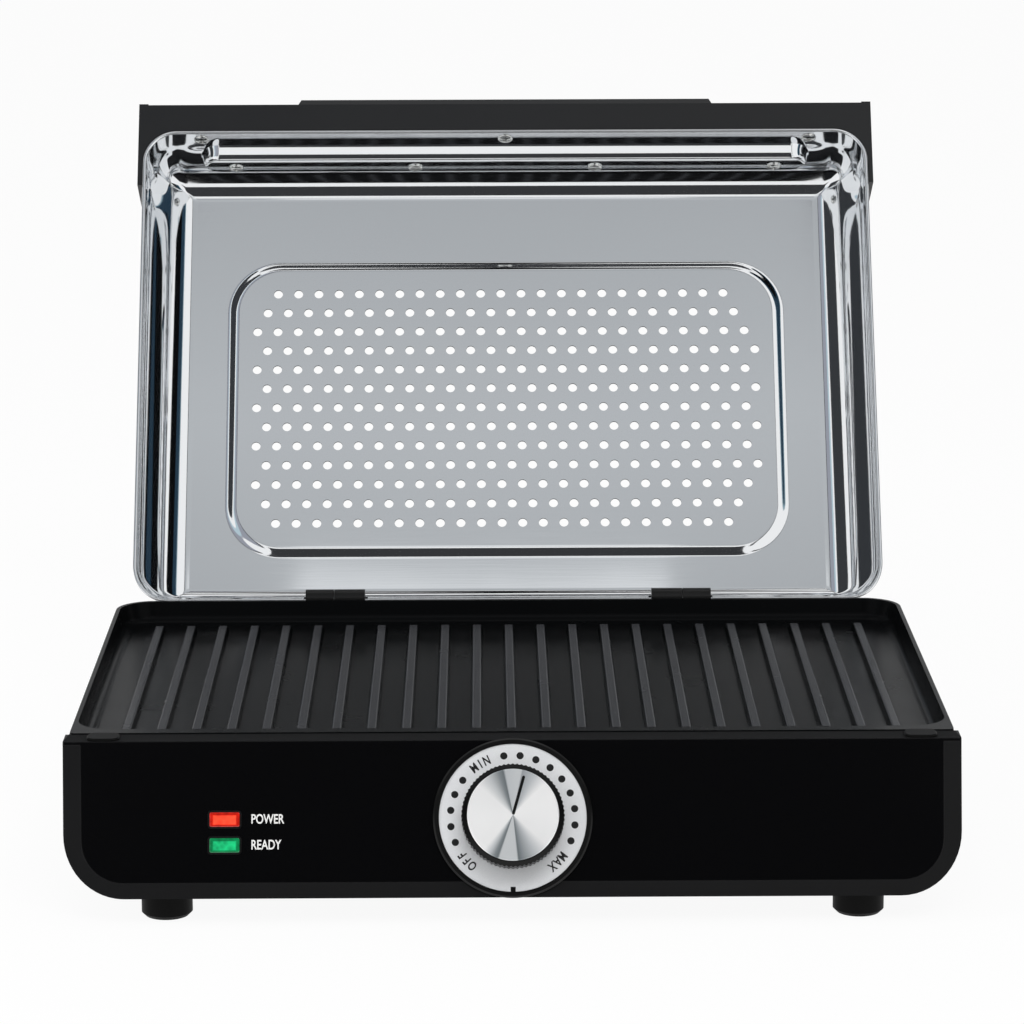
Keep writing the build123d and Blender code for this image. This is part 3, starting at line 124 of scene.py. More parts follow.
def feed(shader, **nodes):
    """Lead nodes into the shader's sockets; Base_Color stands for the socket Base Color."""
    for socket, node in nodes.items():
        shader.id_data.links.new(node.outputs[0], shader.inputs[socket.replace("_", " ")])


def finish(name, colour, **look):
    """Start a finish: its tree, its shader and its place in millimetres."""
    material = bpy.data.materials.new(name)
    material.use_nodes = True
    tree = material.node_tree
    shader = tree.nodes["Principled BSDF"]
    shader.inputs["Base Color"].default_value = linear(colour)
    for socket, value in look.items():
        shader.inputs[socket.replace("_", " ")].default_value = value
    metres = add(tree, "TexCoord").outputs["Object"]
    place = add(tree, "VectorMath", {1: (1000, 1000, 1000)}, {0: metres}, operation="MULTIPLY")
    return material, tree, shader, place


def graded(tree, stops, source):
    """Colours that change along a value from 0 to 1; each stop is a place and a hex colour."""
    ramp = add(tree, "ValToRGB", {}, {0: source})
    stop = ramp.color_ramp.elements
    stop.remove(stop[1])
    stop[0].position, stop[0].color = 0.0, linear(stops[0][1])
    for place, colour in stops[1:]:
        stop.new(place).color = linear(colour)
    return ramp


print("mid grey 808080 is", round(linear("808080")[0], 3), "in linear light")

# %% [markdown]
# ## The studio
# The grill was shot on white. The floor and the world are plain white where the camera, a mirror
# or a lens looks at them, and they light the grill only at a plain level, so that each colour
# renders about as it is written. The floor still takes the grill's shadow, because a part of its
# light comes from the lamps.

# %% Light the world and lay the floor
fill_light, paper_glow_share = 0.55, 0.93
world = bpy.data.worlds.new("white_studio")
scene.world = world
world.use_nodes = True


def looked_at(tree):
    """1 for rays from the camera, from a mirror or through glass, else 0."""
    path = add(tree, "LightPath")
    mirrored = add(tree, "Math", {}, {0: path.outputs["Is Camera Ray"], 1: path.outputs["Is Glossy Ray"]},
                   operation="MAXIMUM")
    return add(tree, "Math", {}, {0: mirrored, 1: path.outputs["Is Transmission Ray"]}, operation="MAXIMUM")


background = world.node_tree.nodes["Background"]
background.inputs["Color"].default_value = (1, 1, 1, 1)
tree = world.node_tree
feed(background, Strength=add(tree, "MapRange", {"To Min": fill_light}, {"Value": looked_at(tree)}))

floor_mesh = bpy.data.meshes.new("floor")
floor_mesh.from_pydata([(-12, -9, 0), (12, -9, 0), (12, 15, 0), (-12, 15, 0)], [], [(0, 1, 2, 3)])
placed("floor", floor_mesh)
paper, tree, shader, place = finish("white_paper_sweep", "f4f4f4", Roughness=0.8, Specular_IOR_Level=0.1)
glow = add(tree, "Emission", {"Color": (1, 1, 1, 1), "Strength": 1.0})
share = add(tree, "MapRange", {"To Max": paper_glow_share}, {"Value": looked_at(tree)})
feed(tree.nodes["Material Output"], Surface=add(tree, "MixShader", {}, {0: share, 1: shader, 2: glow}))
floor_mesh.materials.append(paper)
print("fill light:", fill_light)

# %% [markdown]
# ## Lamps and cards
# Two large soft lamps stand in front, one high and one to the left. A polished lid has no colour
# of its own and shows what stands round it, so cards do the drawing. Most are pieces of a sphere
# round the grill, given by two angles sideways from the front and two upwards:
#
# - a dark one behind the camera makes the glossy front black
# - a grey one overhead gives the lid's flat its soft grey, and a pale window in it gives the
#   light that lies low on the flat
# - dark and blue strips at the sides draw the bands down the lid's walls
# - a graded sky behind keeps the outside of the lid from going all white
#
# Two more lie just over the floor: a dark one in front, which the lid's wall shows beside its
# channel, and a graded one behind, darkest next to the grill as a painted shadow of the grill on
# the floor. Only reflections see the cards.

# %% Helpers that hang the lamps and the cards
card_distance, card_middle, over_floor = 2.6, 0.15, 0.001


def soft_lamp(name, place, size, watts, aim=(0, 0, 0.1)):
    """A rectangular soft box that lights but isn't mirrored."""
    lamp = placed(name, bpy.data.lights.new(name, "AREA"))
    lamp.data.shape = "RECTANGLE"
    lamp.data.size, lamp.data.size_y = size
    lamp.data.energy = watts
    lamp.location = place
    lamp.rotation_mode = "QUATERNION"
    lamp.rotation_quaternion = (Vector(place) - Vector(aim)).to_track_quat("Z", "Y")
    lamp.visible_glossy = False


def mirror_card(name, points, faces, stops, direction, span):
    """A card that only mirrors see, with colours graded along a direction over a span."""
    mesh = bpy.data.meshes.new(name)
    mesh.from_pydata(points, [], faces)
    look = bpy.data.materials.new(name)
    look.use_nodes = True
    tree = look.node_tree
    glow = add(tree, "Emission", {"Color": linear(stops[0][1])})
    if len(stops) > 1:
        along = add(tree, "VectorMath", {1: direction}, {0: add(tree, "TexCoord").outputs["Object"]},
                    operation="DOT_PRODUCT")
        share = add(tree, "MapRange", {"From Min": span[0], "From Max": span[1]},
                    {"Value": along.outputs["Value"]})
        feed(glow, Color=graded(tree, stops, share))
    feed(tree.nodes["Material Output"], Surface=glow)
    mesh.materials.append(look)
    card = placed(name, mesh)
    card.visible_camera = card.visible_diffuse = card.visible_shadow = False


def curved_card(name, stops, sides, rises, distance=card_distance):
    """A mirror card on a sphere round the grill, between two angles sideways and two upwards."""
    columns, rows = 9, 7
    points, faces = [], []
    for row in range(rows + 1):
        rise = math.radians(rises[0] + (rises[1] - rises[0]) * row / rows)
        level, height = distance * math.cos(rise), card_middle + distance * math.sin(rise)
        for column in range(columns + 1):
            side = math.radians(sides[0] + (sides[1] - sides[0]) * column / columns)
            points.append((level * math.sin(side), -level * math.cos(side), height))
    for row in range(rows):
        for first in range(row * (columns + 1), row * (columns + 1) + columns):
            faces.append((first, first + 1, first + columns + 2, first + columns + 1))
    span = [card_middle + distance * math.sin(math.radians(rise)) for rise in rises]
    mirror_card(name, points, faces, stops, (0, 0, 1), span)


def level_card(name, stops, across, along):
    """A mirror card just over the floor, between two places in X and two in Y."""
    points = [(x, y, over_floor) for y in along for x in across]
    mirror_card(name, points, [(0, 1, 3, 2)], stops, (0, 1, 0), along)


# %% Hang the lamps and the cards
soft_lamp("high_front_lamp", (0.3, -1.9, 2.2), (1.8, 1.2), 34)
soft_lamp("left_lamp", (-2.0, -0.8, 1.3), (1.0, 1.6), 16)
for name, colour, sides, rises in (
        ("dark_behind_camera", "3a3b3d", (-13, 13), (-5, 32)),
        ("black_ceiling", "161718", (-60, 60), (75, 104)),
        ("dark_edge_right", "343537", (17, 20), (20, 72)),
        ("dark_edge_left", "343537", (-20, -17), (20, 72)),
        ("grey_side_left", "a0a3ad", (-40, -20), (20, 72)),
        ("pale_blue_left", "bdd2dc", (-47, -40), (15, 72)),
        ("dark_side_left", "3b3d40", (-90, -54), (5, 72)),
        ("pale_blue_right", "8fa9b4", (58, 61), (5, 72)),
        ("blue_side_right", "2b3f4f", (61, 74), (5, 72)),
        ("black_side_right", "0c0d0e", (74, 92), (5, 72))):
    curved_card(name, [(0, colour)], sides, rises)
curved_card("grey_sky_behind", [(0, "f2f3f4"), (0.35, "b8bbbe"), (0.7, "8e9194"), (1, "c6c8cb")],
            (105, 255), (6, 62))
curved_card("grey_overhead", [(0, "b5b8bb"), (0.3, "b5b8bb"), (0.5, "c2c5c8"), (0.75, "b1b4b7")],
            (-17, 17), (42, 72))
curved_card("soft_window", [(0, "f4f5f6"), (0.84, "eceef0"), (0.97, "bbbec1")],
            (-8.3, 7.3), (44, 51.2), 2.55)
level_card("dark_far_floor", [(0, "3a3b3d")], (-0.8, 0.8), (-6.4, -1.05))
# Painted shadow: the card behind is darkest, 74777a, next to the grill.
level_card("grey_floor_behind", [(0, "74777a"), (0.5, "c0c2c4"), (1, "f6f6f6")], (-1.2, 1.2), (0.1, 0.5))

# %% [markdown]
# ## Moulded plastic
# The tub, the handle, the hinges and the small trim are injection moulded. A mould is spark
# eroded or etched to hide fingerprints, which leaves a fine even pebble, about a third of a
# millimetre across, with a sheen that changes slowly where the plastic flowed. One recipe makes
# all of them: a pebble for the bump and a slow cloud for the sheen and the depth of the black.


# %% A recipe for moulded plastic
def moulded_plastic(name, colour, roughness, pebble, depth, ior, gloss):
    """Moulded plastic with a pebble of a size and depth in millimetres, and a specular level."""
    material, tree, shader, place = finish(name, colour, Roughness=roughness, IOR=ior,
                                           Specular_IOR_Level=gloss)
    grain = add(tree, "TexNoise", {"Scale": 1 / pebble, "Detail": 2.0, "Roughness": 0.6}, {"Vector": place})
    bump = add(tree, "Bump", {"Distance": depth / 1000}, {"Height": grain})
    flow = add(tree, "TexNoise", {"Scale": 1 / 40, "Detail": 3.0}, {"Vector": place})
    sheen = add(tree, "MapRange", {"To Min": roughness - 0.05, "To Max": roughness + 0.05}, {"Value": flow})
    tint = add(tree, "MixRGB", {1: linear(colour, 0.8), 2: linear(colour, 1.25)}, {0: flow})
    feed(shader, Normal=bump, Roughness=sheen, Base_Color=tint)
    return material


tub_plastic = moulded_plastic("spark_eroded_polypropylene", "0b0b0c", 0.46, 0.35, 0.015, 1.5, 0.22)
handle_plastic = moulded_plastic("etched_glass_filled_nylon", "0e0f11", 0.42, 0.4, 0.015, 1.53, 0.42)
trim_plastic = moulded_plastic("satin_abs", "090909", 0.3, 0.3, 0.008, 1.5, 0.3)
knob_plastic = moulded_plastic("satin_phenolic", "070707", 0.36, 0.3, 0.01, 1.6, 0.1)
foot_rubber = moulded_plastic("moulded_silicone_rubber", "070707", 0.55, 0.5, 0.015, 1.42, 0.15)
print("plastics:", [m.name for m in (tub_plastic, handle_plastic, trim_plastic, knob_plastic, foot_rubber)])

# %% [markdown]
# ## The glossy front
# The front is ABS moulded in a polished tool. It mirrors the studio at about four hundredths, so
# it looks nearly black in front of the dark card. Even a polished moulding isn't quite flat: a
# faint orange peel, some three millimetres across and a few thousandths deep, softens its mirror.
# Its edges are rounded by a little over half a millimetre, which the Bevel node shades without
# any more mesh, and where it turns level, on top, it is etched dull.

# %% Gloss black ABS
edge_radius, dull_roughness = 0.0006, 0.85
gloss_plastic, tree, shader, place = finish("gloss_moulded_abs", "060607", Roughness=0.07, IOR=1.53,
                                              Specular_IOR_Level=0.25)
rounded = add(tree, "Bevel", {"Radius": edge_radius}, samples=4)
peel = add(tree, "TexNoise", {"Scale": 1 / 3, "Detail": 1.0}, {"Vector": place})
bump = add(tree, "Bump", {"Distance": 0.000004}, {"Height": peel, "Normal": rounded})
haze = add(tree, "TexNoise", {"Scale": 1 / 60, "Detail": 4.0}, {"Vector": place})
gloss = add(tree, "MapRange", {"To Min": 0.04, "To Max": 0.11}, {"Value": haze})
facing = add(tree, "SeparateXYZ", {}, {0: add(tree, "NewGeometry").outputs["Normal"]})
top_edge = add(tree, "MapRange", {"From Min": 0.7, "From Max": 0.9, "To Max": dull_roughness},
               {"Value": facing.outputs["Z"]})
feed(shader, Normal=bump, Roughness=add(tree, "Math", {}, {0: gloss, 1: top_edge}, operation="MAXIMUM"))
print("front:", gloss_plastic.name)

# %% [markdown]
# ## The cooking plate
# The plate is die-cast aluminium, shot blasted and sprayed with a PTFE coating. PTFE has a very
# low index, 1.35, so the coat looks satin and dark, and the blasted metal below it shows as a
# fine speckle with small bright flakes of mineral filler. The tops of the ribs are painted a little
# lighter, a painted highlight for the light they catch: it lies where the plate is as high as the
# ribs and faces upwards.

# %% PTFE coating on blasted aluminium
rib_top, full_painted_highlight = 74.1, 0.9
plate_coating, tree, shader, place = finish("ptfe_coated_aluminium", "0b0c0d", Roughness=0.24, IOR=1.35,
                                            Specular_IOR_Level=0.06)
blast = add(tree, "TexNoise", {"Scale": 1 / 0.5, "Detail": 3.0, "Roughness": 0.7}, {"Vector": place})
bump = add(tree, "Bump", {"Distance": 0.00001}, {"Height": blast})
speckle = add(tree, "TexVoronoi", {"Scale": 1 / 0.9}, {"Vector": place})
flakes = add(tree, "MapRange", {"From Max": 0.14, "To Min": 1.0, "To Max": 0.0}, {"Value": speckle})
coat = add(tree, "MixRGB", {1: linear("090a0b"), 2: linear("17181a")}, {0: flakes})
# Painted highlight: the coat is painted lighter, 36373a, where it is as high as the ribs' tops and faces
# up.
height = add(tree, "SeparateXYZ", {}, {0: place})
over_ribs = add(tree, "Math", {1: rib_top}, {0: height.outputs["Z"]}, operation="SUBTRACT")
off_top = add(tree, "Math", {}, {0: over_ribs}, operation="ABSOLUTE")
near_top = add(tree, "MapRange", {"From Min": 0.3, "From Max": 1.6, "To Min": full_painted_highlight, "To Max": 0.0},
               {"Value": off_top})
level = add(tree, "SeparateXYZ", {}, {0: add(tree, "NewGeometry").outputs["Normal"]})
facing_up = add(tree, "MapRange", {"From Min": 0.45, "From Max": 0.9}, {"Value": level.outputs["Z"]})
painted_top_highlight = add(tree, "Math", {}, {0: near_top, 1: facing_up}, operation="MULTIPLY")
coat_and_painted_highlight = add(tree, "MixRGB", {2: linear("36373a")}, {0: painted_top_highlight, 1: coat})
use = add(tree, "TexNoise", {"Scale": 1 / 25, "Detail": 4.0}, {"Vector": place})
sheen = add(tree, "MapRange", {"To Min": 0.22, "To Max": 0.3}, {"Value": use})
feed(shader, Normal=bump, Base_Color=coat_and_painted_highlight, Roughness=sheen)
print("plate:", plate_coating.name)

# %% [markdown]
# ## The lid's steel
# The lid is drawn from one millimetre stainless sheet and polished. It has two kinds of life:
# a very faint straight grain from the rolling mill, and a slow waviness that the press leaves,
# a few hundredths of a millimetre over some centimetres, which bends the bands it mirrors.

# %% Polished stainless sheet
lid_steel, tree, shader, place = finish("polished_stainless_steel", "e9ebed", Metallic=1.0, Roughness=0.06)
wave = add(tree, "TexNoise", {"Scale": 1 / 45, "Detail": 1.0}, {"Vector": place})
stretched = add(tree, "VectorMath", {1: (0.02, 1, 1)}, {0: place}, operation="MULTIPLY")
mill_grain = add(tree, "TexNoise", {"Scale": 1 / 0.7, "Detail": 2.0}, {"Vector": stretched})
press = add(tree, "Bump", {"Distance": 0.00005}, {"Height": wave})
grain = add(tree, "Bump", {"Distance": 0.0000015}, {"Height": mill_grain, "Normal": press})
sheen = add(tree, "MapRange", {"To Min": 0.03, "To Max": 0.09}, {"Value": mill_grain})
feed(shader, Normal=grain, Roughness=sheen)
print("lid:", lid_steel.name)

# %% [markdown]
# ## Plated and bare metals
# Screws, pins and brackets are steel with a thin zinc or nickel plate, which grows in small
# patches that differ a little in shade. The drip tray was dipped in zinc, whose patches are
# larger, and the pan under the heater is bright sheet. The heater's sheath is dark from its own
# heat, and the feeler's tube is copper.


# %% A recipe for plated metal
def plated_metal(name, colour, roughness, patch):
    """Metal whose plate grew in patches of a size in millimetres."""
    material, tree, shader, place = finish(name, colour, Metallic=1.0, Roughness=roughness)
    patches = add(tree, "TexVoronoi", {"Scale": 1 / patch}, {"Vector": place}).outputs["Color"]
    shade = add(tree, "MapRange", {"To Min": roughness - 0.07, "To Max": roughness + 0.08},
                {"Value": patches})
    tint = add(tree, "MixRGB", {1: linear(colour, 0.78), 2: linear(colour)}, {0: patches})
    pits = add(tree, "TexNoise", {"Scale": 1 / 0.6, "Detail": 2.0}, {"Vector": place})
    bump = add(tree, "Bump", {"Distance": 0.000006}, {"Height": pits})
    feed(shader, Normal=bump, Base_Color=tint, Roughness=shade)
    return material


zinc_plate = plated_metal("zinc_plated_steel", "b9bdc0", 0.34, 2.5)
nickel_plate = plated_metal("nickel_plated_steel", "e4e5e3", 0.16, 1.2)
bright_sheet = plated_metal("aluminised_steel_sheet", "c3c6c8", 0.26, 9.0)
tray_steel = plated_metal("galvanised_steel_sheet", "b4b8bb", 0.36, 5.0)
heater_sheath = plated_metal("heat_darkened_steel_sheath", "4a4540", 0.5, 5.0)
copper_tube = plated_metal("drawn_copper_tube", "b8704f", 0.3, 4.0)
sheared_steel = plated_metal("sheared_steel_edge", "57595b", 0.5, 0.8)
print("metals:", [m.name for m in (zinc_plate, nickel_plate, bright_sheet, tray_steel, heater_sheath)])

# %% [markdown]
# ## Ceramic and glass sleeve
# The terminal block and the beads on the heater are steatite, a dense white ceramic with a dull
# skin. The leads are in braided glass fibre, whose strands cross about twice in a millimetre.

# %% Steatite and glass braid
steatite, tree, shader, place = finish("pressed_steatite", "e4e0d6", Roughness=0.55, IOR=1.6)
skin = add(tree, "TexNoise", {"Scale": 1 / 0.8, "Detail": 4.0}, {"Vector": place})
bump = add(tree, "Bump", {"Distance": 0.00002}, {"Height": skin})
tone = add(tree, "MixRGB", {1: linear("d8d3c6"), 2: linear("ebe8e0")}, {0: skin})
feed(shader, Normal=bump, Base_Color=tone)

glass_braid, tree, shader, place = finish("braided_glass_sleeve", "d9d4c4", Roughness=0.6, IOR=1.5)
braid = add(tree, "TexWave", {"Scale": 0.6, "Distortion": 0.4}, {"Vector": place},
            bands_direction="DIAGONAL")
bump = add(tree, "Bump", {"Distance": 0.0001}, {"Height": braid})
tone = add(tree, "MixRGB", {1: linear("b9b29d"), 2: linear("e3dfd2")}, {0: braid})
feed(shader, Normal=bump, Base_Color=tone)
print("insulators:", steatite.name, glass_braid.name)

# %% [markdown]
# ## The dial's face and the knob's cap
# The scale is an aluminium disc, blasted with fine beads and anodised. The oxide scatters most
# of the light, so the disc is pale and even and looks only a little metallic.
#
# The cap is spun: a tool has turned hundreds of fine rings into it, and such rings spread the
# light across themselves, which draws the bright and dark fans of a brushed disc. Anisotropy
# across the rings gives just that. Lamps as soft as these draw such fans too faintly, so a ramp
# of greys round the clock paints them into the colour as well, as painted reflections, and the
# cap is half metallic to let them show.
#
# The dial leans back with the front, so its middle and its three directions are worked out
# first, because the print and the rings need them too.

# %% Where the dial is
front_tilt = math.radians(20)
dial_middle = Vector((0, -0.22583, 0.047047))
dial_right = Vector((1, 0, 0))
dial_up = Vector((0, math.sin(front_tilt), math.cos(front_tilt)))
dial_out = dial_right.cross(dial_up)


def on_front(right, up, out):
    """A place on the leaning front in metres from the dial's middle, given in millimetres."""
    return dial_middle + (right * dial_right + up * dial_up + out * dial_out) / 1000


print("dial faces the direction", [round(x, 3) for x in dial_out])

# %% The dial's two aluminium finishes
scale_metal, tree, shader, place = finish("bead_blasted_aluminium", "e6e8ea", Metallic=0.2, Roughness=0.5)
beads = add(tree, "TexNoise", {"Scale": 1 / 0.35, "Detail": 2.0}, {"Vector": place})
bump = add(tree, "Bump", {"Distance": 0.00001}, {"Height": beads})
tone = add(tree, "MixRGB", {1: linear("d9dbde"), 2: linear("f0f1f2")}, {0: beads})
feed(shader, Normal=bump, Base_Color=tone)

spun_cap, tree, shader, place = finish("spun_aluminium", "f4f5f6", Metallic=0.45, Roughness=0.32,
                                       Anisotropic=0.8)
middle = add(tree, "VectorMath", {1: tuple(1000 * dial_middle)}, {0: place}, operation="SUBTRACT")
rightward = add(tree, "VectorMath", {1: tuple(dial_right)}, {0: middle}, operation="DOT_PRODUCT")
upward = add(tree, "VectorMath", {1: tuple(dial_up)}, {0: middle}, operation="DOT_PRODUCT")
along_rings = add(tree, "VectorMath", {0: tuple(dial_out)}, {1: middle}, operation="CROSS_PRODUCT")
outwards = add(tree, "VectorMath", {0: tuple(dial_out)}, {1: along_rings}, operation="CROSS_PRODUCT")
across_rings = add(tree, "VectorMath", {}, {0: outwards}, operation="NORMALIZE")
radius = add(tree, "VectorMath", {}, {0: along_rings}, operation="LENGTH")
# Real tool marks are about 0.1 mm apart, too fine for the picture, so they are drawn 0.5 mm apart.
ring_count = add(tree, "Math", {1: 1 / 0.5}, {0: radius.outputs["Value"]}, operation="MULTIPLY")
ring_noise = add(tree, "TexNoise", {"Scale": 1.0, "Detail": 3.0}, {"W": ring_count}, noise_dimensions="1D")
sheen = add(tree, "MapRange", {"To Min": 0.28, "To Max": 0.36}, {"Value": ring_noise})
clock = add(tree, "Math", {}, {0: rightward.outputs["Value"], 1: upward.outputs["Value"]},
            operation="ARCTAN2")
share = add(tree, "MapRange", {"From Min": -math.pi, "From Max": math.pi}, {"Value": clock})
# The fans are painted reflections: greys laid into the colour by the angle round the cap's middle.
white, pale, soft, mid, dull, dark = "ffffff", "d3d6d8", "c7cbce", "a1a5ab", "8b9195", "6e767a"
painted_fan_stops = [(-180, pale), (-162, pale), (-160, dark), (-155, dull), (-149, soft), (-140, white),
             (-50, white), (-33, pale), (-19, dull), (-12, dark), (-10.5, soft), (11, pale), (12.5, mid),
             (28, soft), (46, white), (132, white), (151, soft), (168, dull), (173, dark), (175, pale)]
painted_fan_reflections = graded(tree, [((angle + 180) / 360, colour) for angle, colour in painted_fan_stops], share)
feed(shader, Tangent=across_rings, Roughness=sheen, Base_Color=painted_fan_reflections)
print("dial's finishes:", scale_metal.name, spun_cap.name)

# %% [markdown]
# ## The lamps
# The two lamp lenses are tinted polycarbonate. Each shows a bright middle in a deeper border of its
# own colour, and that border is painted shade from the bezel round the lens. The painted shade is
# drawn from the distance to the lens's middle, sideways and upwards, and the small prisms behind
# the lens as cells in it.


# %% Tinted lamp lenses
lamp_side, lamp_rises = -131.0, (-0.1, -11.8)
bezel_shade_ends = {"X": (4.9, 5.5), "Z": (1.7, 2.2)}


def tinted_lens(name, rise, bezel_shade_colour, bright):
    """Clear tinted plastic, painted deeper towards its border as shade from the bezel."""
    material, tree, shader, place = finish(name, bright, Roughness=0.12, IOR=1.58, Coat_Weight=0.6,
                                           Coat_Roughness=0.05, Emission_Strength=0.35)
    middle = 1000 * on_front(lamp_side, rise, 0)
    offset = add(tree, "VectorMath", {1: tuple(middle)}, {0: place}, operation="SUBTRACT")
    size = add(tree, "VectorMath", {}, {0: offset}, operation="ABSOLUTE")
    sides = add(tree, "SeparateXYZ", {}, {0: size})
    across, along = [
        add(tree, "MapRange", {"From Min": low, "From Max": high}, {"Value": sides.outputs[axis]})
        for axis, (low, high) in bezel_shade_ends.items()]
    # The border mask is where the lens is painted deeper: painted shade from the bezel.
    border = add(tree, "Math", {}, {0: across, 1: along}, operation="MAXIMUM")
    prisms = add(tree, "TexVoronoi", {"Scale": 1 / 2.4}, {"Vector": place})
    lens_and_painted_bezel_shade = add(tree, "MixRGB", {1: linear(bright), 2: linear(bezel_shade_colour)}, {0: border})
    facets = add(tree, "MixRGB", {0: 0.35}, {1: lens_and_painted_bezel_shade, 2: prisms}, blend_type="OVERLAY")
    feed(shader, Base_Color=facets, Emission_Color=facets)
    return material


red_lens = tinted_lens("red_tinted_polycarbonate", lamp_rises[0], "a81508", "f2452c")
green_lens = tinted_lens("green_tinted_polycarbonate", lamp_rises[1], "056b3d", "17a868")
print("lenses:", red_lens.name, green_lens.name)

# %% [markdown]
# ## Dress the solids
# Each solid keeps its shape and gets the finish of what it is made of.

# %% Give every solid its finish
wearing = {
    tub_plastic: ["base_housing", "tray_pull"],
    gloss_plastic: ["front_fascia"],
    trim_plastic: ["dial_collar", "lamp_bezels", "knob_pointer", "hinge_post_left", "hinge_post_right",
                   "hinge_arm_left", "hinge_arm_right", "cable_gland"],
    handle_plastic: ["lid_handle"],
    knob_plastic: ["knob_skirt"],
    foot_rubber: ["ledge_pads", "foot_front_left", "foot_front_right", "foot_rear_left", "foot_rear_right"],
    plate_coating: ["grill_plate"],
    lid_steel: ["lid_shell"],
    zinc_plate: ["thermostat_bracket", "thermostat_nut", "thermostat_spindle", "thermal_fuse",
                 "element_clips", "element_tabs", "reflector_screws", "bulb_clips", "tray_rail_left",
                 "tray_rail_right", "hinge_pin_left", "hinge_pin_right", "hinge_post_screws",
                 "foot_screws"],
    nickel_plate: ["rim_screws", "channel_screws", "hinge_arm_rivets"],
    bright_sheet: ["heat_reflector"],
    tray_steel: ["drip_tray"],
    heater_sheath: ["heating_element"],
    copper_tube: ["sensor_bulb"],
    steatite: ["thermostat_body", "element_beads", "terminal_block"],
    glass_braid: ["wires"],
    scale_metal: ["dial_scale_ring"],
    spun_cap: ["knob_cap"],
    red_lens: ["power_lamp_lens"],
    green_lens: ["ready_lamp_lens"],
}
dressed = []
for material, names in wearing.items():
    for name in names:
        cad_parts[name].data.materials[0] = material
        dressed.append(name)
print("dressed:", len(dressed), "left bare:", sorted(set(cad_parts) - set(dressed)))

# %% [markdown]
# ## The print on the dial and beside the lamps
# Dots and words are screen printed: a film of ink a few hundredths of a millimetre thick. Words
# on the ring stand with their tops outwards and read clockwise. Each letter becomes mesh, is
# turned to its place, and joins one print, because a print is one layer of ink.


# %% Helpers that turn work to mesh and to pieces
def applied(holder):
    """Mesh of letters or of an object with its modifiers; the object itself goes."""
    bpy.context.view_layer.update()
    mesh = bpy.data.meshes.new_from_object(holder.evaluated_get(bpy.context.evaluated_depsgraph_get()))
    bpy.data.objects.remove(holder)
    return mesh


def object_from(name, shape, *materials):
    """Turn a finished bmesh to an object."""
    mesh = bpy.data.meshes.new(name)
    shape.to_mesh(mesh)
    shape.free()
    for material in materials:
        mesh.materials.append(material)
    return placed(name, mesh)


# %% Ink and a way to lay it
ink_film, letter_narrowing = 0.03, 0.72


def ink(name, colour):
    """Dull screen ink, a little uneven in cover."""
    material, tree, shader, place = finish(name, colour, Roughness=0.5)
    cover = add(tree, "TexNoise", {"Scale": 1 / 0.7, "Detail": 2.0}, {"Vector": place})
    feed(shader, Roughness=add(tree, "MapRange", {"To Min": 0.4, "To Max": 0.6}, {"Value": cover}))
    return material


def letter_outline(letters, height, weight):
    """Flat mesh of some letters in metres, centred, with a height in millimetres."""
    curve = bpy.data.curves.new("letters", "FONT")
    curve.body = letters
    curve.align_x = curve.align_y = "CENTER"
    curve.size = 1.0
    curve.offset = weight
    flat = applied(placed("letters", curve))
    scale = height / 1000 / (max(v.co.y for v in flat.vertices) - min(v.co.y for v in flat.vertices))
    flat.transform(Matrix.Diagonal((scale * letter_narrowing, scale, scale, 1)))
    return flat


def laid_on_front(right, up, out, turn=0.0):
    """Matrix that lays a flat mesh on the front, turned clockwise by an angle in degrees."""
    angle = math.radians(turn)
    across = math.cos(angle) * dial_right - math.sin(angle) * dial_up
    along = math.sin(angle) * dial_right + math.cos(angle) * dial_up
    return with_axes(across, along, dial_out, on_front(right, up, out))


black_ink = ink("black_screen_ink", "0b0b0c")
white_ink = ink("white_screen_ink", "e8e8e6")
print("inks:", black_ink.name, white_ink.name)

# %% Print the dial
scale_face, print_radius, dot_diameter = 2.1, 28.4, 3.3
dot_angles = [-113, -98, -83, -68, -53] + [-8 + 15 * step for step in range(9)]
dial_letter_height, dial_letter_weight, letter_pitch = 4.3, 0.025, 6.6
word_angles = {"OFF": -133.0, "MIN": -31.0, "MAX": 134.7}


def on_scale(angle, turn=0.0):
    """Matrix that lays a mark on the scale, at an angle clockwise from its top."""
    clock = math.radians(angle)
    return laid_on_front(print_radius * math.sin(clock), print_radius * math.cos(clock),
                         scale_face + ink_film, turn)


dial_print = bmesh.new()
for angle in dot_angles:
    bmesh.ops.create_circle(dial_print, cap_ends=True, segments=32, radius=dot_diameter / 2000,
                            matrix=on_scale(angle))
for word, middle in word_angles.items():
    for index, letter in enumerate(word):
        angle = middle + (index - 1) * letter_pitch
        glyph = letter_outline(letter, dial_letter_height, dial_letter_weight)
        glyph.transform(on_scale(angle, angle))
        dial_print.from_mesh(glyph)
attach(object_from("dial_print", dial_print, black_ink), "base")
print("dots:", len(dot_angles), "words:", list(word_angles))

# %% Print the lamps' words
label_left, label_height, label_weight = -119.0, 4.4, 0.018
lamp_print = bmesh.new()
for word, rise in zip(("POWER", "READY"), lamp_rises):
    label = letter_outline(word, label_height, label_weight)
    width = 1000 * (max(v.co.x for v in label.vertices) - min(v.co.x for v in label.vertices))
    label.transform(laid_on_front(label_left + width / 2, rise, ink_film))
    lamp_print.from_mesh(label)
    print(word, "is", round(width, 1), "mm wide")
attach(object_from("lamp_print", lamp_print, white_ink), "base")

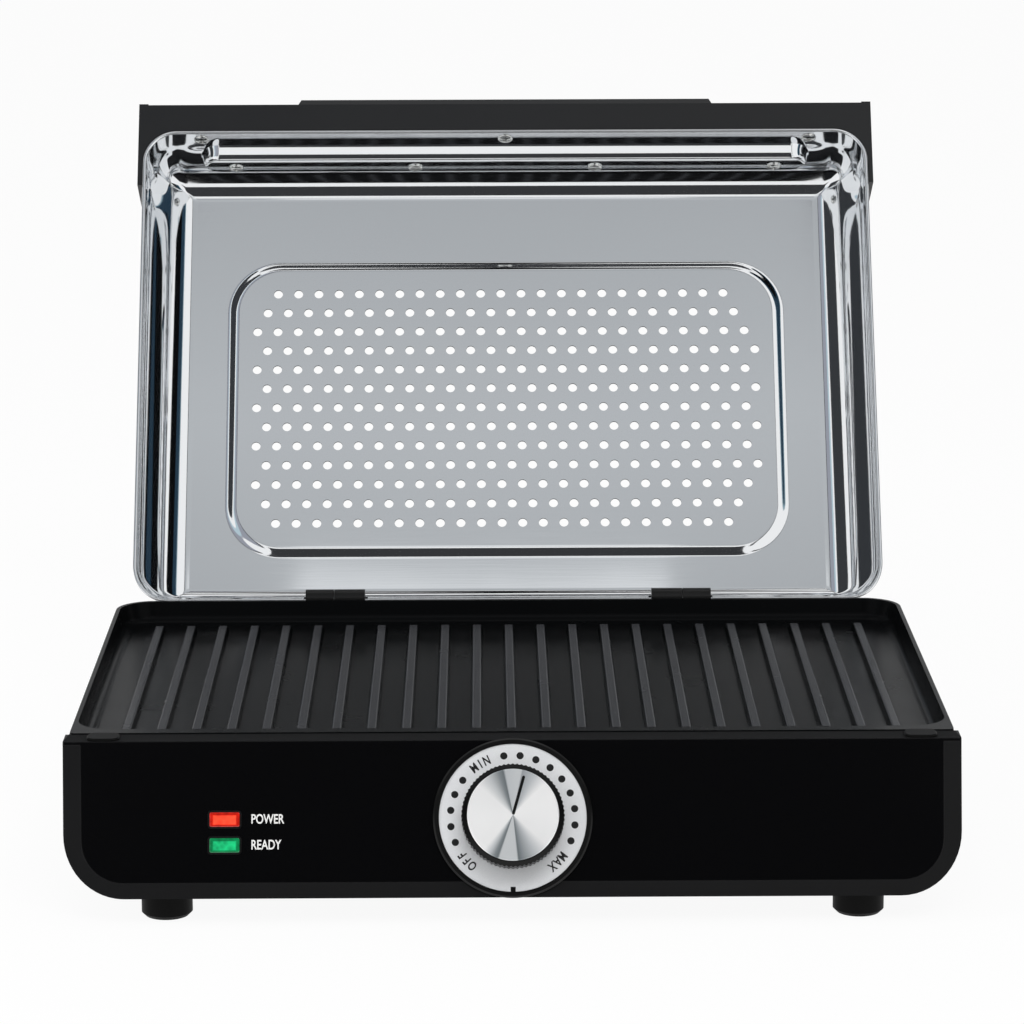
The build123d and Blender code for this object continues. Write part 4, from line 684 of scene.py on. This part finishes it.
# %% [markdown]
# ## The drawn lid
# The lid is one sheet of steel: a blank is drawn over a block, which gives the round walls, then
# its flat is embossed and punched and its rim is rolled over. A solid has only a few facets there,
# and a mirror shows each of them. So the sheet is made again from rings of points: each ring is the
# lid's plan at one height, and the wall's section is a quarter of an ellipse. Only the front wall
# rises straight at first, up to the channel for the handle. Rings could also be swept from a
# curve, but a grid of known points lets that channel be pressed in softly, as the press does.
# Blender's Solidify then gives the sheet its one millimetre.

# %% Places on the open lid
hinge_axis = Vector((0, 0.076146, 0.080))
lid_open = math.radians(121)
lid_along = Vector((0, -math.cos(lid_open), math.sin(lid_open)))
lid_outward = Vector((0, math.sin(lid_open), math.cos(lid_open)))


def on_lid(x, from_hinge, height):
    """A place on the open lid: distance from the hinge and height over the rim plane, in mm."""
    return hinge_axis + (x * Vector((1, 0, 0)) + from_hinge * lid_along + height * lid_outward) / 1000


print("lid leans back by degrees:", round(math.degrees(lid_open) - 90, 1))

# %% [markdown]
# All sizes of the lid are in millimetres, its angles in degrees. A plan is a rounded rectangle,
# with the inset from the foot of the wall shared out unevenly: the sides lean in more than the
# back. Near the rim the sheet runs out to a lip at the back, and it has two notches there for
# the hinges. Points lie close together at the channel's ends, where the wall turns most.

# %% A rounded rectangle with points where they are needed
corner_steps = 16


def spaced(steps):
    """Values from 0 outwards to both sides; each (end, step) says how close they are up to there."""
    values, start = [0.0], 0.0
    for end, step in steps:
        count = max(1, round((end - start) / step))
        values += [start + (end - start) * (index + 1) / count for index in range(count)]
        start = end
    return [-value for value in reversed(values[1:])] + values


def rounded_outline(half_x, half_u, middle, corner, front, side, back):
    """Points (x, from_hinge) round a rounded rectangle, with its straight runs divided as asked."""
    run_x, run_u = half_x - corner, half_u - corner
    points = [(stop / front[-1] * run_x, middle + half_u) for stop in front]
    corners = [(run_x, run_u, 90), (run_x, -run_u, 0), (-run_x, -run_u, -90), (-run_x, run_u, 180)]
    runs = [
        [(half_x, middle + stop / side[-1] * run_u) for stop in reversed(side)],
        [(stop / back[-1] * run_x, middle - half_u) for stop in reversed(back)],
        [(-half_x, middle + stop / side[-1] * run_u) for stop in side],
        [],
    ]
    for (across, up, start), run in zip(corners, runs):
        for step in range(1, corner_steps):
            angle = math.radians(start - 90 * step / corner_steps)
            points.append((across + corner * math.cos(angle), middle + up + corner * math.sin(angle)))
        points += run
    return points


def eased(value):
    """Smooth step from 0 to 1."""
    share = min(max(value, 0), 1)
    return share * share * (3 - 2 * share)


print("between -6 and 6 by 3:", spaced([(6, 3)]))

# %% The lid's plan at any inset from its foot
foot_width, foot_depth, foot_corner, sharpest_corner = 393.3, 266.8, 17.9, 1.5
rim_height, draw_depth, wall_inset = 1.5, 42.0, 23.0
lid_middle, rear_lip, lip_up_to, lip_fade = 135.9, 2.2, 3.0, 4.0
front_lean, side_lean, back_lean = 1.04, 1.15, 0.74
straight_draft, straight_up_to, draft_fade = 9.0, 12.0, 14.0
notch_near, notch_far, notch_radius, notch_slack = 73.7, 107.3, 6.6, 0.1
half_straight, side_straight = 178.75, 115.5
front_stops = spaced([(148, 6), (169, 0.7), (half_straight, 2)])
side_stops = spaced([(side_straight, 5)])
back_stops = spaced([(notch_near, 6), (notch_far, 3.4), (half_straight, 6)])


def front_draft(height):
    """How far the front wall leans in more, because it rises straight to the channel."""
    up = min(max(height - rim_height, 0), draw_depth)
    round_inset = front_lean * wall_inset * (1 - math.sqrt(1 - (up / draw_depth) ** 2))
    straight_inset = up * math.tan(math.radians(straight_draft))
    return max(straight_inset - round_inset, 0) * (1 - eased((height - straight_up_to) / draft_fade))


def lid_plan(inset, height):
    """The lid's outline at an inset from the foot of its wall, with the lip at the back."""
    front = lid_middle + foot_depth / 2 - front_lean * inset - front_draft(height)
    back = lid_middle - foot_depth / 2 + back_lean * inset
    outline = rounded_outline(foot_width / 2 - side_lean * inset, (front - back) / 2, (front + back) / 2,
                              max(foot_corner - inset, sharpest_corner),
                              front_stops, side_stops, back_stops)
    lip = rear_lip * (1 - eased((height - lip_up_to) / lip_fade))
    return [(x, u - lip * (1 - eased((u - lid_middle + foot_depth / 2) / foot_corner))) for x, u in outline]


def in_notch(corners):
    """Whether a face lies in one of the two notches for the hinges."""
    return all(math.hypot(v.co.y, v.co.z) < notch_radius
               and notch_near - notch_slack < abs(v.co.x) < notch_far + notch_slack for v in corners)


print("points in a ring:", len(lid_plan(0, 0)))

# %% Draw the walls and press the channel
channel_half, channel_round, channel_middle = 166.5, 10.0, 24.0
channel_floor, press_radius = 259.8, 2.2
flat_height, flat_collar = rim_height + draw_depth, 0.5


def pressed(x, from_hinge, height):
    """Distance from the hinge of the front wall after the channel is pressed into it."""
    past_end = max(abs(x) - (channel_half - channel_round), 0)
    inside = (channel_round - math.hypot(past_end, height - channel_middle)) / press_radius
    return from_hinge + (min(channel_floor, from_hinge) - from_hinge) * eased(inside)


def climbed(low, high, step):
    """Angles of the wall's section from low up to high."""
    count = round((high - low) / step)
    return [low + (high - low) * index / count for index in range(count)]


def skinned(shape, rings, left_out=lambda corners: False):
    """Lay faces between each ring of points and the next, but for those that are left out."""
    for low, high in zip(rings, rings[1:]):
        for index in range(len(low)):
            after = (index + 1) % len(low)
            corners = (low[index], low[after], high[after], high[index])
            if not left_out(corners):
                shape.faces.new(corners)


# The rings lie close together at the channel's two edges, at about 17 and 51 degrees.
section = [1.3, 3.0, 4.6] + climbed(6.2, 15.5, 2.3) + climbed(15.5, 24, 0.5) + climbed(24, 44, 2.0)
section += climbed(44, 53, 0.6) + climbed(53, 90, 1.5) + [90]
sheet = bmesh.new()
rings = []
for angle in section:
    inset = wall_inset * (1 - math.cos(math.radians(angle)))
    height = rim_height + draw_depth * math.sin(math.radians(angle))
    ring = []
    for index, (x, from_hinge) in enumerate(lid_plan(inset, height)):
        if index < len(front_stops):
            from_hinge = pressed(x, from_hinge, height)
        ring.append(sheet.verts.new((x, from_hinge, height)))
    rings.append(ring)
collar = lid_plan(wall_inset + flat_collar, flat_height)
rings.append([sheet.verts.new((x, from_hinge, flat_height)) for x, from_hinge in collar])
skinned(sheet, rings, in_notch)
print("rings:", len(rings), "faces of the wall:", len(sheet.faces))

# %% [markdown]
# The flat is filled between loops: the end of the wall, the emboss and the round holes. Ordinary
# filling makes a mess of 319 holes, so a constrained triangulation does it: every loop's edge has
# to appear, and the triangles that have all three corners on one hole are left out. The emboss is
# an S in section, because sheet can't turn a sharp corner: it leaves the flat and meets the floor
# with no slope, which is what draws the thin white, the broad dark and the thin white line.

# %% Fill the flat, emboss it and punch the holes
panel_middle, panel_half, panel_corner = 123.0, (152.0, 86.0), 30.0
emboss_slope, emboss_step, emboss_rings = 6.25, 1.4, 14
hole_radius, hole_pitch, hole_rows, hole_columns, hole_sides = 2.45, 11.08, 13, 25, 24
panel_stops = spaced([(panel_half[0] - panel_corner, 8)]), spaced([(panel_half[1] - panel_corner, 8)])
weld_gap, panel_height = 0.0005, flat_height - emboss_step


def fill_flat(border, holes, height):
    """Triangles of the sheet between a border and the holes in it, at one height."""
    points, edges, owner = [], [], []
    for number, loop in enumerate([border] + holes):
        start = len(points)
        points += [Vector(point) for point in loop]
        edges += [(start + index, start + (index + 1) % len(loop)) for index in range(len(loop))]
        owner += [number] * len(loop)
    corners, _, triangles, sources, _, _ = delaunay_2d_cdt(points, edges, [], 1, 1e-6)
    made = [sheet.verts.new((corner.x, corner.y, height)) for corner in corners]
    for triangle in triangles:
        loops = {owner[sources[index][0]] for index in triangle}
        if len(loops) > 1 or 0 in loops:
            sheet.faces.new([made[index] for index in triangle])


def panel_plan(inset):
    """The emboss's outline at an inset."""
    return rounded_outline(panel_half[0] - inset, panel_half[1] - inset, panel_middle, panel_corner - inset,
                           panel_stops[0], panel_stops[1], panel_stops[0])


holes = []
turns = [2 * math.pi * step / hole_sides for step in range(hole_sides)]
for row in range(hole_rows):
    from_hinge = panel_middle + ((hole_rows - 1) / 2 - row) * hole_pitch
    stagger = (-1 if row % 2 == 0 else 1) * hole_pitch / 4
    skip_left = 1 if row in (0, hole_rows - 1) else 0
    skip_right = 1 if row in (0, 1, hole_rows - 2, hole_rows - 1) else 0
    for column in range(skip_left, hole_columns - skip_right):
        x = (column - (hole_columns - 1) / 2) * hole_pitch + stagger
        holes.append([(x + hole_radius * math.cos(turn), from_hinge + hole_radius * math.sin(turn))
                      for turn in turns])
fill_flat([(v.co.x, v.co.y) for v in rings[-1]], [panel_plan(-flat_collar)], flat_height)
profile = [(-flat_collar, 0)]
for step in range(emboss_rings + 1):
    share = step / emboss_rings
    profile.append((emboss_slope * share, emboss_step * (1 - math.cos(math.pi * share)) / 2))
profile.append((emboss_slope + flat_collar, emboss_step))
emboss = [[sheet.verts.new((x, u, flat_height - drop)) for x, u in panel_plan(inset)]
          for inset, drop in profile]
skinned(sheet, emboss)
fill_flat([(v.co.x, v.co.y) for v in emboss[-1]], holes, panel_height)
bmesh.ops.remove_doubles(sheet, verts=sheet.verts, dist=weld_gap)
print("holes:", len(holes), "faces of the sheet:", len(sheet.faces))

# %% Give the sheet its thickness
sheet_thickness = 1.0
for corner in sheet.verts:
    corner.co = on_lid(*corner.co)
bmesh.ops.recalc_face_normals(sheet, faces=sheet.faces)
if sum(face.calc_area() * face.normal.dot(lid_outward) for face in sheet.faces) < 0:
    bmesh.ops.reverse_faces(sheet, faces=sheet.faces)
blank = object_from("sheet", sheet, lid_steel, sheared_steel)
thick = blank.modifiers.new("one millimetre", "SOLIDIFY")
thick.thickness = sheet_thickness / 1000
thick.offset = -1
thick.use_even_offset = True
thick.material_offset_rim = 1
drawn = applied(blank)
print("faces of the thick sheet:", len(drawn.polygons))

# %% Roll the rim and join the lid
roll_middle, roll_half, roll_sides = (0.25, 2.2), (0.85, 0.7), 14
rolled = bmesh.new()
rings = []
for step in range(roll_sides):
    angle = 2 * math.pi * step / roll_sides
    height = roll_middle[1] + roll_half[1] * math.sin(angle)
    plan = lid_plan(roll_middle[0] + roll_half[0] * math.cos(angle), height)
    rings.append([rolled.verts.new((x, from_hinge, height)) for x, from_hinge in plan])
skinned(rolled, rings + rings[:1], in_notch)
bmesh.ops.delete(rolled, geom=[corner for corner in rolled.verts if not corner.link_faces], context="VERTS")
bmesh.ops.holes_fill(rolled, edges=[edge for edge in rolled.edges if edge.is_boundary], sides=roll_sides)
for corner in rolled.verts:
    corner.co = on_lid(*corner.co)
bmesh.ops.recalc_face_normals(rolled, faces=rolled.faces)
rolled.from_mesh(drawn)
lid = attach(object_from("drawn_lid", rolled, lid_steel, sheared_steel), "lid")
lid.data.polygons.foreach_set("use_smooth", [True] * len(lid.data.polygons))
lid.data.set_sharp_from_angle(angle=math.radians(50))
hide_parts("lid_shell")
print("faces of the lid:", len(lid.data.polygons))

# %% [markdown]
# ## The handle
# The handle is one hollow moulding round the lid's front edge, and its middle stands proud as a
# grip. The solid has its shape but for one thing: on the real one the grip stands higher over the
# two ends. So the handle is a copy of the solid's mesh with the front of its ends pressed back by
# two millimetres, and less towards the lid, which keeps its walls and rounded edges whole.

# %% Press back the ends of the handle
front_edge, press_from, pressed_back = 287.4, 280.0, 2.0
grip_half, grip_proud = 114.0, 0.05
handle_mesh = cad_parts["lid_handle"].data.copy()
moved = 0
for corner in handle_mesh.vertices:
    from_hinge = 1000 * (corner.co - hinge_axis).dot(lid_along)
    on_grip = abs(corner.co.x) < grip_half / 1000 and from_hinge > front_edge + grip_proud
    if from_hinge > press_from and not on_grip:
        share = min((from_hinge - press_from) / (front_edge - press_from), 1)
        corner.co -= lid_along * share * pressed_back / 1000
        moved += 1
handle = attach(placed("moulded_handle", handle_mesh), "lid")
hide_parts("lid_handle")
print("corners moved:", moved, "of", len(handle_mesh.vertices))

# %% [markdown]
# ## Screws with a cross recess
# Seven pan-head screws hold the handle. Their domed heads have the usual cross recess, which
# shows as four dark wedges, so a head is turned from a profile and the cross is cut out of it.
# One screw is made and set down seven times.

# %% Turn a screw and cut its cross
head_radius, head_edge, head_dome, screw_sides = 4.0, 0.5, 1.1, 32
cross_length, cross_width, cross_span = (1.6, 4.4), (0.55, 0.95), (0.25, 2.4)
dome = [(head_radius * math.cos(math.radians(a)), head_edge + head_dome * math.sin(math.radians(a)))
        for a in range(0, 90, 12)]
tip, crown = -11, head_edge + head_dome
turns = [2 * math.pi * step / screw_sides for step in range(screw_sides)]
body = bmesh.new()
rings = [[body.verts.new(Vector((radius * math.cos(turn), radius * math.sin(turn), height)) / 1000)
          for turn in turns]
         for radius, height in [(1.6, tip), (2, tip + 1), (2, 0), (head_radius, 0)] + dome]
skinned(body, rings)
for ring, height in ((rings[0], tip), (rings[-1], crown)):
    middle = body.verts.new((0, 0, height / 1000))
    for step in range(screw_sides):
        body.faces.new((ring[step], ring[(step + 1) % screw_sides], middle))
bmesh.ops.recalc_face_normals(body, faces=body.faces)
screw = object_from("screw", body)

cross = bmesh.new()
for quarter in range(2):
    made = bmesh.ops.create_cube(cross, size=1.0)
    for corner in made["verts"]:
        end = 0 if corner.co.z < 0 else 1
        corner.co.x *= cross_length[end] / 1000
        corner.co.y *= cross_width[end] / 1000
        corner.co.z = cross_span[end] / 1000
    bmesh.ops.rotate(cross, verts=made["verts"], matrix=Matrix.Rotation(math.pi / 2 * quarter, 3, "Z"))
cutter = object_from("cross", cross)
cut = screw.modifiers.new("cross", "BOOLEAN")
cut.object = cutter
cut.solver = "EXACT"
cut.use_self = True
cut_screw = applied(screw)
bpy.data.objects.remove(cutter)
cut_screw.polygons.foreach_set("use_smooth", [True] * len(cut_screw.polygons))
print("faces of a screw:", len(cut_screw.polygons))

# %% Set the seven screws
head_crease, rim_lean = math.radians(35), 9
rim_seats = [(x, 267.56, 8.0) for x in (-166, 0, 166)]
channel_seats = [((index - 1.5) * 98.7, 258.8, 27.0) for index in range(4)]
for name, seats, turns, lean in (("rim_screws", rim_seats, (20, 65, 40), rim_lean),
                                 ("channel_screws", channel_seats, (10, 50, 30, 75), 0)):
    row = bmesh.new()
    out = -lid_along - math.tan(math.radians(lean)) * lid_outward
    facing = out.to_track_quat("Z", "X").to_matrix().to_4x4()
    for seat, turn in zip(seats, turns):
        one = cut_screw.copy()
        turned = facing @ Matrix.Rotation(math.radians(turn), 4, "Z")
        one.transform(Matrix.Translation(on_lid(*seat)) @ turned)
        row.from_mesh(one)
    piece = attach(object_from("cross_" + name, row, nickel_plate), "lid")
    piece.data.set_sharp_from_angle(angle=head_crease)
    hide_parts(name)
    print(piece.name, "screws:", len(seats))
